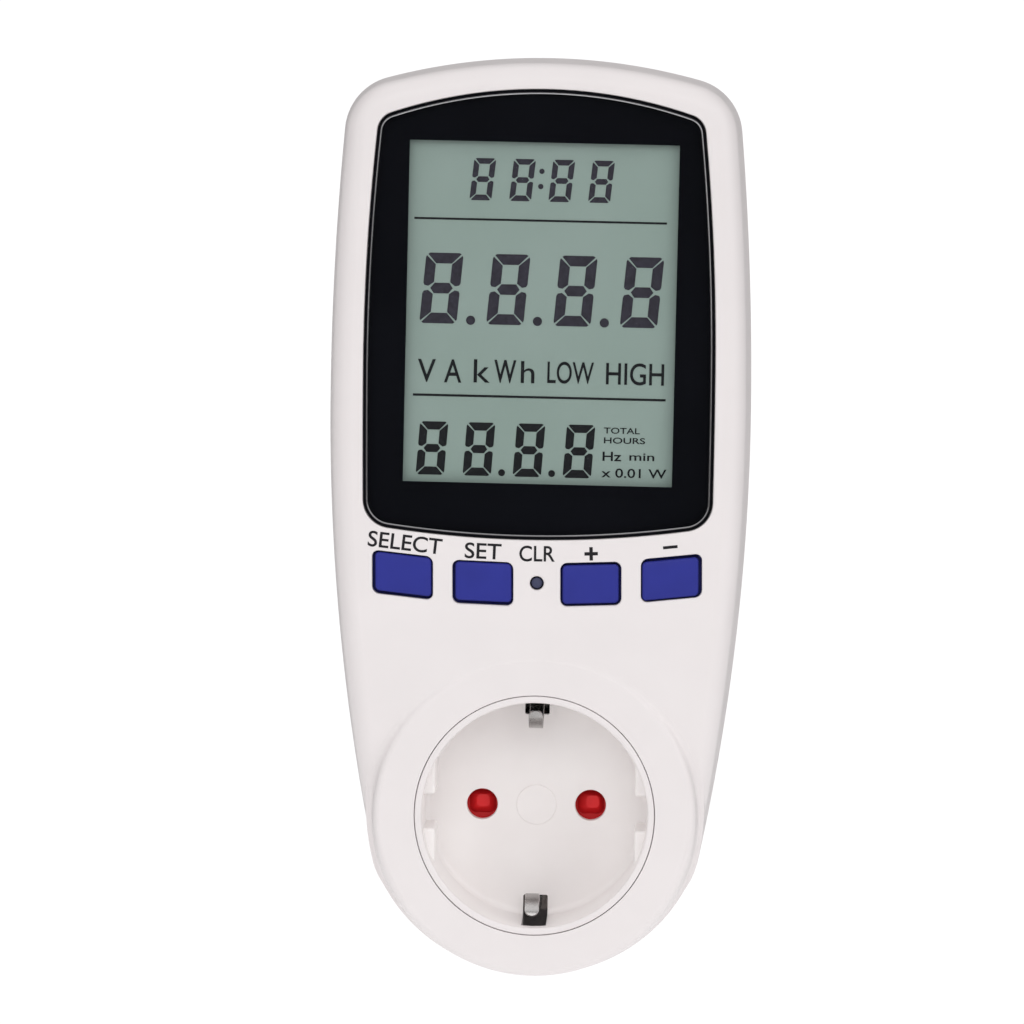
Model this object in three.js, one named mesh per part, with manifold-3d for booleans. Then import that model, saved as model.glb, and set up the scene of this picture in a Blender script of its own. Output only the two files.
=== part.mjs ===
// Plug-in power meter: display and keys above, an earthed socket below, an earthed plug at the back.
// Millimetres. Inside the meter group: X right, Y up, Z towards the user, origin at the centre of
// the plug's end face. The outer group turns this so that +Z is up and the front faces -Y.
import * as THREE from 'three';
import { mergeVertices } from 'three/addons/utils/BufferGeometryUtils.js';
import Module from 'manifold-3d';

const wasm = await Module();
wasm.setup();

// ---- driving dimensions ----
const GAP = 0.3; // between neighbouring pieces
const WALL = 2.2; // housing wall

// depths, from the plug's end face towards the user
const PIN_TIP = -19;
const PLUG_FLOOR = 3;
const BACK_FACE = 17.5; // housing back around the plug
const FLANGE_TOP = 21.4; // plug body's flange inside the housing
const BRIDGE_Z = 21.7;
const BLOCK_BACK = 24.2;
const BLOCK_FRONT = 32;
const SHUTTER_BACK = 34.2;
const SHUTTER_FRONT = 36.4;
const PAN_BACK = 29; // housing back behind the display
const SOCKET_BACK = 37;
const SOCKET_FLOOR = 39;
const PARTING = 40;
const BOARD_BACK = 46.6;
const BOARD_FRONT = 48.2;
const LENS_BACK = 54.4;
const LENS_FRONT = 55.6;
const FRONT = 56;
const RIM = 56.5;

// sides of the polygons that stand in for circles
const ROUND = 40;
const SMALL = 12;

// housing outline, measured from the plug axis
const HALF_WIDTH = 36.7;
const WIDEST_Y = 70;
const SIDE_R_UPPER = 545;
const SIDE_R_LOWER = 385;
const TOP_Y = 130.6;
const TOP_R = 104;
const TOP_CORNER_R = 10;
const LOW_R = 29.5; // round lower end
const LOW_CORNER_R = 2.5;
const LOW_TANGENT = -30; // degrees, where the lower straight edge meets the round lower end
const DRAFT_FRONT = 2.4;
const DRAFT_BACK = 1.6;
const BOSS_FRONT_R = 27.65; // raised round face of the socket
const BOSS_BACK_R = 26.6; // round foot of the plug
const RAMP_HALF = 20; // hump that runs up the back from the plug's foot
const RAMP_TOP_Y = 50;
const POST_R = 3.6;

// display window outline
const LENS = {
  halfWidth: 30.3, wideY: 76.5, upperR: 410, lowerR: 1600,
  topY: 125.07, topR: 81, topCorner: 3.5, bottomY: 47.6, bottomR: 185, bottomCorner: 5,
};
const VIEW_HALF = 25.6; // opening behind the window
const VIEW_LOW = 53.4;
const VIEW_HIGH = 119.4;

// keys
const KEY_W = 9.7;
const KEY_H = 6.6;
const KEY_CORNER = 1.1;
const KEY_TOP = 55.8;
const KEY_HOLE_GAP = 0.42;
const OUTER_KEY = { x: 23.15, y: 41.4, tilt: 6.1 };
const INNER_KEY = { x: 9.3, y: 40.2, tilt: 2 };
const RESET_Y = 40.2;
const RESET_HOLE_R = 1.25;
const PILL_R = 2.3;

// socket, plug and pins
const RECESS_R = 19.5;
const INSERT_R = 20.5;
const FLAT_X = 17.3; // flats inside the recess
const RIB_TOP = 51.5;
const CHANNEL_HALF = 2.95;
const PIN_X = 9.5;
const PIN_R = 2.4;
const PIN_HOLE_R = 2.7;
const SLOT_HALF = 2.15;
const SLOT_IN = 15.9;
const SLOT_TOP = 53.6;
const CLIP_HALF = 1.25;
const SHUTTER_POST_R = 1.6;
const PLUG_R = 18.6;
const PLUG_FLAT_X = 17;
const GROOVE_HALF = 2.9;
const GROOVE_IN = 15.6;
const EARTH_HOLE_Y = 10;

// screws
const CASE_HEAD_R = 2.2;
const CASE_SHANK_R = 1.1;
const CASE_SCREW_LENGTH = 15;
const BOARD_HEAD_R = 1.9;
const BOARD_SHANK_R = 0.85;
const BOARD_SCREW_LENGTH = 6.4;
const CASE_SCREWS = [[-22, 123.2], [22, 123.2], [-26, 24], [26, 24]];
const BOARD_SCREWS = [[-16.2, 32.4], [16.2, 32.4]];

// ---- small geometry helpers ----
const deg = (angle) => angle * Math.PI / 180;
const at = (x, y) => new THREE.Vector2(x, y);

function arcPoints(centre, radius, from, to, steps) {
  const points = [];
  for (let i = 0; i < steps; i += 1) {
    const angle = from + (to - from) * i / steps;
    points.push(at(centre.x + radius * Math.cos(angle), centre.y + radius * Math.sin(angle)));
  }
  return points;
}

function circle(x, y, radius, steps = 16) {
  return arcPoints(at(x, y), radius, 0, 2 * Math.PI, steps);
}

function rectangle(x0, y0, x1, y1) {
  return [at(x0, y0), at(x1, y0), at(x1, y1), at(x0, y1)];
}

// rectangle with round corners, turned by tilt degrees about its centre
function roundRect(x, y, width, height, radius, tilt = 0, steps = 3) {
  const points = [];
  const corners = [[1, 1], [-1, 1], [-1, -1], [1, -1]];
  corners.forEach(([sx, sy], i) => {
    const centre = at(sx * (width / 2 - radius), sy * (height / 2 - radius));
    const start = i * Math.PI / 2;
    points.push(...arcPoints(centre, radius, start, start + Math.PI / 2, steps));
    points.push(at(
      centre.x + radius * Math.cos(start + Math.PI / 2),
      centre.y + radius * Math.sin(start + Math.PI / 2),
    ));
  });
  return points.map((p) => p.rotateAround(at(0, 0), deg(tilt)).add(at(x, y)));
}

// where two circles meet: the upper (side 1) or lower (side -1) crossing on the right
function meet(centreA, radiusA, centreB, radiusB, side) {
  const across = centreB.clone().sub(centreA);
  const distance = across.length();
  const along = (radiusA ** 2 - radiusB ** 2 + distance ** 2) / (2 * distance);
  const off = Math.sqrt(radiusA ** 2 - along ** 2);
  const unit = across.divideScalar(distance);
  const foot = centreA.clone().addScaledVector(unit, along);
  const normal = at(-unit.y, unit.x);
  const found = [foot.clone().addScaledVector(normal, off), foot.clone().addScaledVector(normal, -off)];
  found.sort((p, q) => side * (q.y - p.y));
  return found[0];
}

const angleOf = (from, to) => Math.atan2(to.y - from.y, to.x - from.x);

function mirrored(right) {
  const left = right.filter((p) => p.x > 0.01).map((p) => at(-p.x, p.y)).reverse();
  return [...right, ...left];
}

// upper right part of an outline: side, corner and top arc
function upperArcs(o, inset) {
  const side = at(o.halfWidth - o.upperR, o.wideY);
  const top = at(0, o.topY - o.topR);
  const corner = meet(side, o.upperR - o.topCorner, top, o.topR - o.topCorner, 1);
  const turn = [angleOf(side, corner), angleOf(top, corner)];
  return [
    ...arcPoints(side, o.upperR - inset, 0, turn[0], 3),
    ...arcPoints(corner, o.topCorner - inset, turn[0], turn[1], 5),
    ...arcPoints(top, o.topR - inset, turn[1], Math.PI / 2, 4),
    at(0, o.topY - inset),
  ];
}

const HOUSING = {
  halfWidth: HALF_WIDTH, wideY: WIDEST_Y, upperR: SIDE_R_UPPER,
  topY: TOP_Y, topR: TOP_R, topCorner: TOP_CORNER_R,
};

// the housing's outline, moved inwards by inset
function housingOutline(inset) {
  const side = at(HALF_WIDTH - SIDE_R_LOWER, WIDEST_Y);
  const tangent = deg(LOW_TANGENT);
  const normal = at(Math.cos(tangent), Math.sin(tangent));
  const reach = LOW_R - inset - LOW_CORNER_R;
  const radius = SIDE_R_LOWER - inset - LOW_CORNER_R;
  const run = at(-normal.y, normal.x);
  const start = normal.clone().multiplyScalar(reach).sub(side);
  const half = start.dot(run);
  const travel = -half + Math.sqrt(half ** 2 - start.lengthSq() + radius ** 2);
  const corner = normal.clone().multiplyScalar(reach).addScaledVector(run, travel);
  const turn = angleOf(side, corner);
  return mirrored([
    ...arcPoints(at(0, 0), LOW_R - inset, -Math.PI / 2, tangent, 7),
    at(normal.x * (LOW_R - inset), normal.y * (LOW_R - inset)),
    ...arcPoints(corner, LOW_CORNER_R, tangent, turn, 2),
    ...arcPoints(side, SIDE_R_LOWER - inset, turn, 0, 5),
    ...upperArcs(HOUSING, inset),
  ]);
}

function lensOutline(inset) {
  const side = at(LENS.halfWidth - LENS.lowerR, LENS.wideY);
  const bottom = at(0, LENS.bottomY + LENS.bottomR);
  const cornerR = LENS.bottomCorner;
  const corner = meet(side, LENS.lowerR - cornerR, bottom, LENS.bottomR - cornerR, -1);
  const turn = [angleOf(bottom, corner), angleOf(side, corner)];
  return mirrored([
    ...arcPoints(bottom, LENS.bottomR - inset, -Math.PI / 2, turn[0], 3),
    ...arcPoints(corner, cornerR - inset, turn[0], turn[1], 4),
    ...arcPoints(side, LENS.lowerR - inset, turn[1], 0, 2),
    ...upperArcs(LENS, inset),
  ]);
}

// closed body through rings of equal length; each level is [ring, depth], rising
function stack(levels, place = (a, b, c) => [a, b, c]) {
  const count = levels[0][0].length;
  const clockwise = THREE.ShapeUtils.area(levels[0][0]) < 0;
  const rings = levels.map(([ring]) => (clockwise ? [...ring].reverse() : ring));
  const positions = [];
  rings.forEach((ring, level) => {
    for (const p of ring) positions.push(...place(p.x, p.y, levels[level][1]));
  });
  const index = [];
  for (let level = 0; level < levels.length - 1; level += 1) {
    for (let i = 0; i < count; i += 1) {
      const next = (i + 1) % count;
      const low = level * count;
      const high = low + count;
      index.push(low + i, low + next, high + next);
      index.push(low + i, high + next, high + i);
    }
  }
  const last = (levels.length - 1) * count;
  for (const [a, b, c] of THREE.ShapeUtils.triangulateShape(rings[0], [])) {
    index.push(c, b, a);
  }
  for (const [a, b, c] of THREE.ShapeUtils.triangulateShape(rings[rings.length - 1], [])) {
    index.push(last + a, last + b, last + c);
  }
  return new wasm.Manifold(new wasm.Mesh({
    numProp: 3,
    vertProperties: new Float32Array(positions),
    triVerts: new Uint32Array(index),
  }));
}

const prism = (ring, z0, z1) => stack([[ring, z0], [ring, z1]]);
const rod = (x, y, radius, z0, z1, steps = 16) => prism(circle(x, y, radius, steps), z0, z1);
const box = (x0, y0, z0, x1, y1, z1) => prism(rectangle(x0, y0, x1, y1), z0, z1);

// profile drawn in (y, z), run along x
function alongX(profile, x0, x1) {
  return stack([[profile, x0], [profile, x1]], (a, b, c) => [c, a, b]);
}

// profile drawn in (z, x), run along y
function alongY(profile, y0, y1) {
  return stack([[profile, y0], [profile, y1]], (a, b, c) => [b, c, a]);
}

// round body along X, centred on (y, z); each station is [x, radius]
function turnedX(y, z, stations, steps = 16) {
  return stack(stations.map(([x, radius]) => [circle(y, z, radius, steps), x]), (a, b, c) => [c, a, b]);
}

const join = (first, ...rest) => rest.reduce((body, other) => body.add(other), first);
const cut = (first, ...rest) => rest.reduce((body, other) => body.subtract(other), first);

// bent strip: a band of even thickness around a line of points
function band(points, thickness) {
  const left = [];
  const right = [];
  points.forEach((p, i) => {
    const before = points[Math.max(i - 1, 0)];
    const after = points[Math.min(i + 1, points.length - 1)];
    const run = after.clone().sub(before).normalize();
    const normal = at(-run.y, run.x).multiplyScalar(thickness / 2);
    left.push(p.clone().sub(normal));
    right.push(p.clone().add(normal));
  });
  return [...left, ...right.reverse()];
}

// ---- materials and the group ----
const meter = new THREE.Group();
meter.name = 'meter';

const FINISH = {
  housing: [0xece6e6, 0.45, 0],
  insert: [0xf4f0f0, 0.4, 0],
  window: [0x14161a, 0.08, 0],
  keys: [0x3d4496, 0.5, 0],
  carbon: [0x1b1b1c, 0.9, 0],
  silicone: [0xb9bdc2, 0.7, 0],
  cell: [0x8e9f98, 0.2, 0],
  zebra: [0xd9a0a8, 0.8, 0],
  film: [0xdfe2e0, 0.3, 0.2],
  board: [0x1f6b3a, 0.5, 0],
  chip: [0x1a1a1c, 0.55, 0],
  crystal: [0xb8bcc0, 0.3, 0.9],
  film_cap: [0xd6b52c, 0.5, 0],
  can: [0x22252c, 0.4, 0],
  varistor: [0x2a5aa8, 0.5, 0],
  resistor: [0x6f9bb8, 0.5, 0],
  manganin: [0xb07a4a, 0.35, 0.9],
  battery: [0x2f8f4e, 0.45, 0],
  wire_brown: [0x6b3f22, 0.5, 0],
  wire_blue: [0x2a58b0, 0.5, 0],
  shutter: [0xc9232e, 0.4, 0],
  steel: [0xc4c6c8, 0.3, 0.9],
  brass: [0xc9a65a, 0.3, 0.9],
  nickel: [0xd2d0ca, 0.22, 0.95],
  holder: [0x2b2c30, 0.6, 0],
};

function add(name, body, finish) {
  const data = body.simplify(0.005).getMesh();
  const geometry = new THREE.BufferGeometry();
  geometry.setAttribute('position', new THREE.Float32BufferAttribute(data.vertProperties, data.numProp));
  geometry.setIndex(Array.from(data.triVerts));
  const [color, roughness, metalness] = FINISH[finish];
  const material = new THREE.MeshStandardMaterial({ color, roughness, metalness });
  material.name = name;
  const mesh = new THREE.Mesh(geometry, material);
  mesh.name = name;
  meter.add(mesh);
}

// ---- housing ----
const DROP_FROM = 27; // below this height the front falls away behind the socket boss
const DROP_R = 121;

// what lies behind the curved front, lowered by depth
function frontLimit(depth) {
  const profile = [at(TOP_Y + 5, PARTING - 5), at(TOP_Y + 5, FRONT - depth), at(DROP_FROM, FRONT - depth)];
  for (let y = DROP_FROM - 9; y >= -36; y -= 9) {
    profile.push(at(y, FRONT - depth - (DROP_FROM - y) ** 2 / (2 * DROP_R)));
  }
  profile.push(at(-36, PARTING - 5));
  return alongX(profile, -HALF_WIDTH - 5, HALF_WIDTH + 5);
}

const keySpots = [
  { name: 'mode', side: -1, spot: OUTER_KEY },
  { name: 'set', side: -1, spot: INNER_KEY },
  { name: 'up', side: 1, spot: INNER_KEY },
  { name: 'down', side: 1, spot: OUTER_KEY },
];

function keyRing(key, grow) {
  const { x, y, tilt } = key.spot;
  const corner = KEY_CORNER + Math.max(grow, 0);
  return roundRect(key.side * x, y, KEY_W + 2 * grow, KEY_H + 2 * grow, corner, key.side * tilt);
}

function buildFrontCover() {
  const back = PARTING + GAP / 2;
  const outer = stack([
    [housingOutline(0), back],
    [housingOutline(DRAFT_FRONT * 0.87), FRONT - 2.4],
    [housingOutline(DRAFT_FRONT + 0.6), FRONT - 0.7],
    [housingOutline(DRAFT_FRONT + 2), FRONT],
  ]).intersect(frontLimit(0));
  const inner = stack([
    [housingOutline(WALL), back - 1],
    [housingOutline(WALL + DRAFT_FRONT), FRONT - WALL],
  ]).intersect(frontLimit(WALL));
  const boss = stack([
    [circle(0, 0, BOSS_FRONT_R + 1.2, ROUND), PARTING + 4],
    [circle(0, 0, BOSS_FRONT_R, ROUND), RIM - 1.2],
    [circle(0, 0, BOSS_FRONT_R - 0.35, ROUND), RIM - 0.35],
    [circle(0, 0, BOSS_FRONT_R - 1.2, ROUND), RIM],
  ]);
  const bossInner = stack([
    [circle(0, 0, LOW_R - WALL - 0.4, ROUND), back - 2],
    [circle(0, 0, BOSS_FRONT_R - WALL - 0.4, ROUND), RIM - WALL],
  ]);
  const sleeve = cut(
    rod(0, 0, INSERT_R + 1.8, SOCKET_FLOOR + 1, RIM - WALL + 0.2, ROUND),
    box(-4, -30, 30, 4, 30, RIM - WALL - 0.1),
  );
  let body = cut(outer, inner);
  body = cut(join(body, boss), bossInner);
  body = join(body, sleeve);
  for (const [x, y] of CASE_SCREWS) {
    body = join(body, rod(x, y, 3, PARTING + 3, FRONT - WALL + 0.2, SMALL));
  }
  for (const [x, y] of BOARD_SCREWS) {
    body = join(body, rod(x, y, 1.9, BOARD_FRONT + GAP, FRONT - WALL + 0.2, SMALL));
  }
  body = cut(body, rod(0, 0, INSERT_R + GAP, 30, RIM + 2, ROUND));
  body = cut(body, prism(lensOutline(0), LENS_BACK - GAP, FRONT + 2));
  body = join(body, prism(lensOutline(-0.6), FRONT - WALL - 0.8, LENS_BACK - GAP));
  body = cut(body, box(-VIEW_HALF, VIEW_LOW, 50, VIEW_HALF, VIEW_HIGH, FRONT));
  for (const key of keySpots) {
    body = cut(body, prism(keyRing(key, KEY_HOLE_GAP), 50, FRONT + 2));
  }
  body = cut(body, rod(0, RESET_Y, RESET_HOLE_R, 50, FRONT + 2, 16));
  for (const [x, y] of CASE_SCREWS) {
    body = cut(body, rod(x, y, CASE_SHANK_R + 0.1, PARTING, FRONT - 5, SMALL));
  }
  for (const [x, y] of BOARD_SCREWS) {
    body = cut(body, rod(x, y, BOARD_SHANK_R + 0.1, BOARD_FRONT, FRONT - 4, SMALL));
  }
  return body;
}

function buildRearCover() {
  const front = PARTING - GAP / 2;
  const limit = box(-50, -50, 0, 50, TOP_Y + 5, front);
  const pan = stack([
    [housingOutline(DRAFT_BACK + 2.4), PAN_BACK],
    [housingOutline(DRAFT_BACK + 0.8), PAN_BACK + 0.9],
    [housingOutline(DRAFT_BACK), PAN_BACK + 2.6],
    [housingOutline(0), front],
  ]);
  const boss = stack([
    [circle(0, 0, BOSS_BACK_R - 2, ROUND), BACK_FACE],
    [circle(0, 0, BOSS_BACK_R - 0.6, ROUND), BACK_FACE + 0.6],
    [circle(0, 0, BOSS_BACK_R, ROUND), BACK_FACE + 2],
    [circle(0, 0, LOW_R - 0.1, ROUND), front],
  ]);
  const ramp = alongX([
    at(0, BACK_FACE),
    at(24, BACK_FACE + 1.5),
    at(RAMP_TOP_Y, PAN_BACK + 0.1),
    at(0, PAN_BACK + 0.1),
  ], -RAMP_HALF, RAMP_HALF);
  const panInner = stack([
    [housingOutline(DRAFT_BACK + WALL + 1), PAN_BACK + WALL],
    [housingOutline(WALL), front + 1],
  ]);
  const bossInner = stack([
    [circle(0, 0, BOSS_BACK_R - WALL, ROUND), BACK_FACE + WALL],
    [circle(0, 0, LOW_R - 0.1 - WALL, ROUND), front + 1],
  ]);
  const innerTop = PAN_BACK + WALL + 0.1;
  const rampInner = alongX([
    at(0, BACK_FACE + WALL),
    at(22.8, BACK_FACE + WALL + 1.4),
    at(RAMP_TOP_Y - 4, innerTop),
    at(0, innerTop),
  ], WALL - RAMP_HALF, RAMP_HALF - WALL);
  let body = join(pan, boss, ramp);
  body = cut(body, panInner, bossInner, rampInner);
  const postLimit = prism(housingOutline(WALL + 0.9), PAN_BACK, PARTING + 3);
  for (const [x, y] of CASE_SCREWS) {
    body = join(body, rod(x, y, POST_R, PAN_BACK + 1, PARTING + 2.5, 20).intersect(postLimit));
  }
  const lip = cut(
    stack([[housingOutline(WALL + 0.4), front - 3], [housingOutline(WALL + 0.65), front + 1.5]]),
    stack([[housingOutline(WALL + 1.5), front - 4], [housingOutline(WALL + 1.7), front + 2]]),
  );
  const lipRoot = cut(
    prism(housingOutline(WALL - 0.3), front - 3, front - 1),
    prism(housingOutline(WALL + 1.5), front - 4, front),
  );
  body = join(body, lip, lipRoot);
  for (const [x, y] of CASE_SCREWS) {
    body = cut(body, rod(x, y, CASE_HEAD_R + GAP, PAN_BACK - 1, PAN_BACK + 7, 20));
    body = cut(body, rod(x, y, CASE_SHANK_R + GAP, PAN_BACK, PARTING + 4, SMALL));
  }
  const plugHole = rod(0, 0, PLUG_R + GAP, BACK_FACE - 1, BACK_FACE + WALL + 1, ROUND);
  return cut(body, plugHole);
}

add('front_cover', buildFrontCover(), 'housing');
add('rear_cover', buildRearCover(), 'housing');

// ---- display ----
add('display_window', stack([
  [lensOutline(0.3), LENS_BACK],
  [lensOutline(0.3), LENS_FRONT - 0.5],
  [lensOutline(0.9), LENS_FRONT],
]), 'window');

const CELL_LOW = 54.3;
const CELL_HIGH = 118;
add('lcd_cell', join(
  box(-25, CELL_LOW, 50.5, 25, CELL_HIGH, 51.8),
  box(-25, CELL_LOW + 1.8, 51.7, 25, CELL_HIGH - 1.6, 53),
), 'cell');
add('lcd_frame', cut(
  box(-27.2, CELL_LOW - 2.1, 48.5, 27.2, CELL_HIGH + 1.5, 52.6),
  box(-25.3, CELL_LOW - GAP, 48, 25.3, CELL_HIGH + GAP, 53),
), 'insert');
add('lcd_reflector', box(-24.6, CELL_LOW + 3, 49.7, 24.6, CELL_HIGH - 3, 50.2), 'film');
const contactStrip = (low) => box(-23.5, low, 48.5, 23.5, low + 2.2, 50.2);
add('contact_strip_upper', contactStrip(CELL_HIGH - 2.4), 'zebra');
add('contact_strip_lower', contactStrip(CELL_LOW + 0.2), 'zebra');

// ---- keys ----
const padTop = (x, y, radius) => rod(x, y, radius, 50.6, 52.4, SMALL);
for (const key of keySpots) {
  const { x, y, tilt } = key.spot;
  const flange = roundRect(key.side * x, y, KEY_W + 1.9, KEY_H + 1.9, 1.4, key.side * tilt);
  add(`key_${key.name}`, join(
    stack([
      [keyRing(key, 0), 52.9],
      [keyRing(key, 0), KEY_TOP - 0.4],
      [keyRing(key, -0.4), KEY_TOP],
    ]),
    prism(flange, 52.2, 53),
    padTop(key.side * x, y, 2.4),
  ), 'keys');
  add(`pill_${key.name}`, rod(key.side * x, y, PILL_R, 49.6, 50.3, SMALL), 'carbon');
}
add('key_reset', join(
  rod(0, RESET_Y, RESET_HOLE_R - 0.3, 52.3, 54.9, 16),
  rod(0, RESET_Y, 2, 51.5, 52.4, 16),
  padTop(0, RESET_Y, 1.4),
), 'keys');
add('pill_reset', rod(0, RESET_Y, 1.6, 49.6, 50.3, SMALL), 'carbon');

function buildKeypadSheet() {
  const spots = [...keySpots.map((k) => [k.side * k.spot.x, k.spot.y, 3.6]), [0, RESET_Y, 2.6]];
  let body = prism(roundRect(0, 40.8, 58, 11.6, 2), 48.5, 49.2);
  for (const [x, y, radius] of spots) body = join(body, rod(x, y, radius + 0.6, 49, 50.2, SMALL));
  for (const [x, y, radius] of spots) body = cut(body, rod(x, y, radius, 48, 51, SMALL));
  return body;
}
add('keypad_sheet', buildKeypadSheet(), 'silicone');

// ---- main board and what stands on it ----
function buildBoard() {
  let body = prism(roundRect(0, 75.8, 58.6, 93.6, 2.5), BOARD_BACK, BOARD_FRONT);
  for (const [x, y] of CASE_SCREWS.slice(0, 2)) body = cut(body, rod(x, y, 3.9, 40, 50, 20));
  for (const [x, y] of BOARD_SCREWS) body = cut(body, rod(x, y, 1.2, 40, 50, 12));
  return body;
}
add('main_board', buildBoard(), 'board');

const seat = BOARD_BACK - GAP; // parts on the back of the board start here
const LEAD_PITCH = 1.27;
function buildChip(x, y, width, height, thick, leads) {
  const low = y - height / 2;
  const high = y + height / 2;
  let body = box(x - width / 2, low, seat - thick, x + width / 2, high, seat - 0.15);
  for (let i = 0; i < leads; i += 1) {
    const across = x + (i - (leads - 1) / 2) * LEAD_PITCH;
    body = join(body, box(across - 0.2, low - 1, seat - 0.5, across + 0.2, high + 1, seat));
  }
  return body;
}
add('metering_chip', buildChip(-12, 62, 10.3, 4, 1.7, 8), 'chip');
add('processor_chip', buildChip(10, 100, 10, 10, 1.5, 7), 'chip');
add('crystal', prism(roundRect(-6, 98, 10.2, 3.6, 1.7), seat - 3.4, seat), 'crystal');
add('dropper_capacitor', box(-24, 70, seat - 13.6, -6, 79, seat), 'film_cap');

// can on a slightly narrower rubber foot
function buildCan(x, y, radius, height) {
  return join(
    rod(x, y, radius, seat - height, seat - 0.5, 20),
    rod(x, y, radius - 0.3, seat - 0.6, seat, 20),
  );
}
add('capacitor_large', buildCan(22, 77, 4.2, 11.4), 'can');
add('capacitor_small', buildCan(12, 77, 2.5, 10.6), 'can');

function buildVaristor() {
  const disc = alongY(circle(seat - 6.4, 0, 5, 24), 50, 53.6);
  const leg = box(2.2, 51.2, seat - 2.6, 3, 52.2, seat);
  return join(disc, leg, leg.mirror([1, 0, 0]));
}
add('varistor', buildVaristor(), 'varistor');
const resistorStations = [[12, 1.1], [12.8, 1.9], [22.2, 1.9], [23, 1.1]];
add('dropper_resistor', turnedX(58, seat - 2.6, resistorStations), 'resistor');

// current shunt: a thick bent bar standing off the board
const shuntPath = [
  at(40, seat), at(40, seat - 5), at(41.5, seat - 6.8),
  at(46.5, seat - 6.8), at(48, seat - 5), at(48, seat),
];
add('shunt', alongX(band(shuntPath, 1), -14, -10.6), 'manganin');
add('backup_battery', turnedX(110, seat - 7.2, [[-10, 6.6], [-9.6, 7], [7.6, 7], [8, 6.6]]), 'battery');

// ---- socket ----
function buildSocketInsert() {
  const shell = stack([
    [circle(0, 0, INSERT_R, ROUND), SOCKET_BACK],
    [circle(0, 0, INSERT_R, ROUND), RIM - 0.4],
    [circle(0, 0, INSERT_R - 0.35, ROUND), RIM],
  ]);
  const flange = rod(0, 0, 23.4, SOCKET_BACK, SOCKET_FLOOR + 0.6, ROUND);
  const recess = stack([
    [circle(0, 0, RECESS_R, ROUND), SOCKET_FLOOR],
    [circle(0, 0, RECESS_R, ROUND), RIM - 0.5],
    [circle(0, 0, RECESS_R + 0.5, ROUND), RIM + 0.1],
  ]);
  let body = cut(join(shell, flange), recess);
  const inside = rod(0, 0, RECESS_R + 0.4, SOCKET_FLOOR - 0.2, RIB_TOP, ROUND);
  const quarterRib = box(FLAT_X, CHANNEL_HALF, SOCKET_FLOOR - 0.2, 21, 20, RIB_TOP);
  for (const side of [-1, 1]) {
    for (const half of [-1, 1]) {
      const rib = quarterRib.scale([side, half, 1]);
      body = join(body, rib.intersect(inside));
    }
  }
  body = join(body, rod(0, 0, 3.5, SOCKET_FLOOR - 0.2, SOCKET_FLOOR + 0.35, 24));
  body = join(body, rod(0, 0, SHUTTER_POST_R, SHUTTER_BACK - 1, SOCKET_BACK + 0.2, 16));
  const slot = box(-SLOT_HALF, SLOT_IN, SOCKET_BACK - 1, SLOT_HALF, INSERT_R + 0.4, SLOT_TOP);
  for (const side of [-1, 1]) {
    body = cut(body, rod(side * PIN_X, 0, PIN_HOLE_R, SOCKET_BACK - 1, SOCKET_FLOOR + 1, 24));
    body = cut(body, slot.scale([1, side, 1]));
  }
  return body;
}
add('socket_insert', buildSocketInsert(), 'insert');

// two lobes that cover the pin holes, turning on the post behind the socket floor
function buildShutter() {
  const lobe = (side) => rod(side * PIN_X, 0, 3.9, SHUTTER_BACK, SHUTTER_FRONT, 20);
  const bar = box(-PIN_X, -2.6, SHUTTER_BACK, PIN_X, 2.6, SHUTTER_FRONT);
  const tab = box(-1.2, 0, SHUTTER_BACK, 1.2, 9.4, SHUTTER_BACK + 1.2);
  const hole = rod(0, 0, SHUTTER_POST_R + 0.05, 30, 40, 20);
  return cut(join(bar, lobe(-1), lobe(1), tab), hole);
}
add('shutter', buildShutter(), 'shutter');
const springPath = [at(9.4, 11.4), at(7.6, 10.4), at(5.2, 10.6), at(3.2, 9.4), at(1.55, 8.6)];
add('shutter_spring', prism(band(springPath, 0.4), SHUTTER_BACK, SHUTTER_BACK + 1.2), 'steel');

function buildContactBlock() {
  let body = rod(0, 0, 18.2, BLOCK_BACK, BLOCK_FRONT, ROUND);
  const clipSlot = box(-2.4, 15.8, BLOCK_BACK - 1, 2.4, 20, BLOCK_FRONT + 1);
  for (const side of [-1, 1]) {
    const x = side * PIN_X;
    body = cut(body, box(x - 4.4, -4.6, BLOCK_BACK - 1, x + 4.4, 4.6, BLOCK_FRONT + 1));
    body = cut(body, clipSlot.scale([1, side, 1]));
  }
  const springSeat = rod(10.3, 12.7, 1.1, BLOCK_FRONT - 0.2, SHUTTER_FRONT - 0.4, SMALL);
  return join(body, springSeat);
}
add('contact_block', buildContactBlock(), 'holder');

// forked spring contact around the path of an inserted pin
const FORK_INNER = 2.15;
function buildFork(x) {
  const outer = FORK_INNER + 0.7;
  const arm = [
    at(17.8, FORK_INNER + 0.1), at(27, FORK_INNER),
    at(31, outer + 0.1), at(31, outer + 0.8), at(17.1, outer),
  ];
  const otherArm = arm.map((p) => at(p.x, -p.y)).reverse();
  const profile = [...otherArm, ...arm];
  return alongY(profile, -3.4, 3.4).translate([x, 0, 0]);
}
add('contact_line', buildFork(-PIN_X), 'brass');
add('contact_neutral', buildFork(PIN_X), 'brass');

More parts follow.
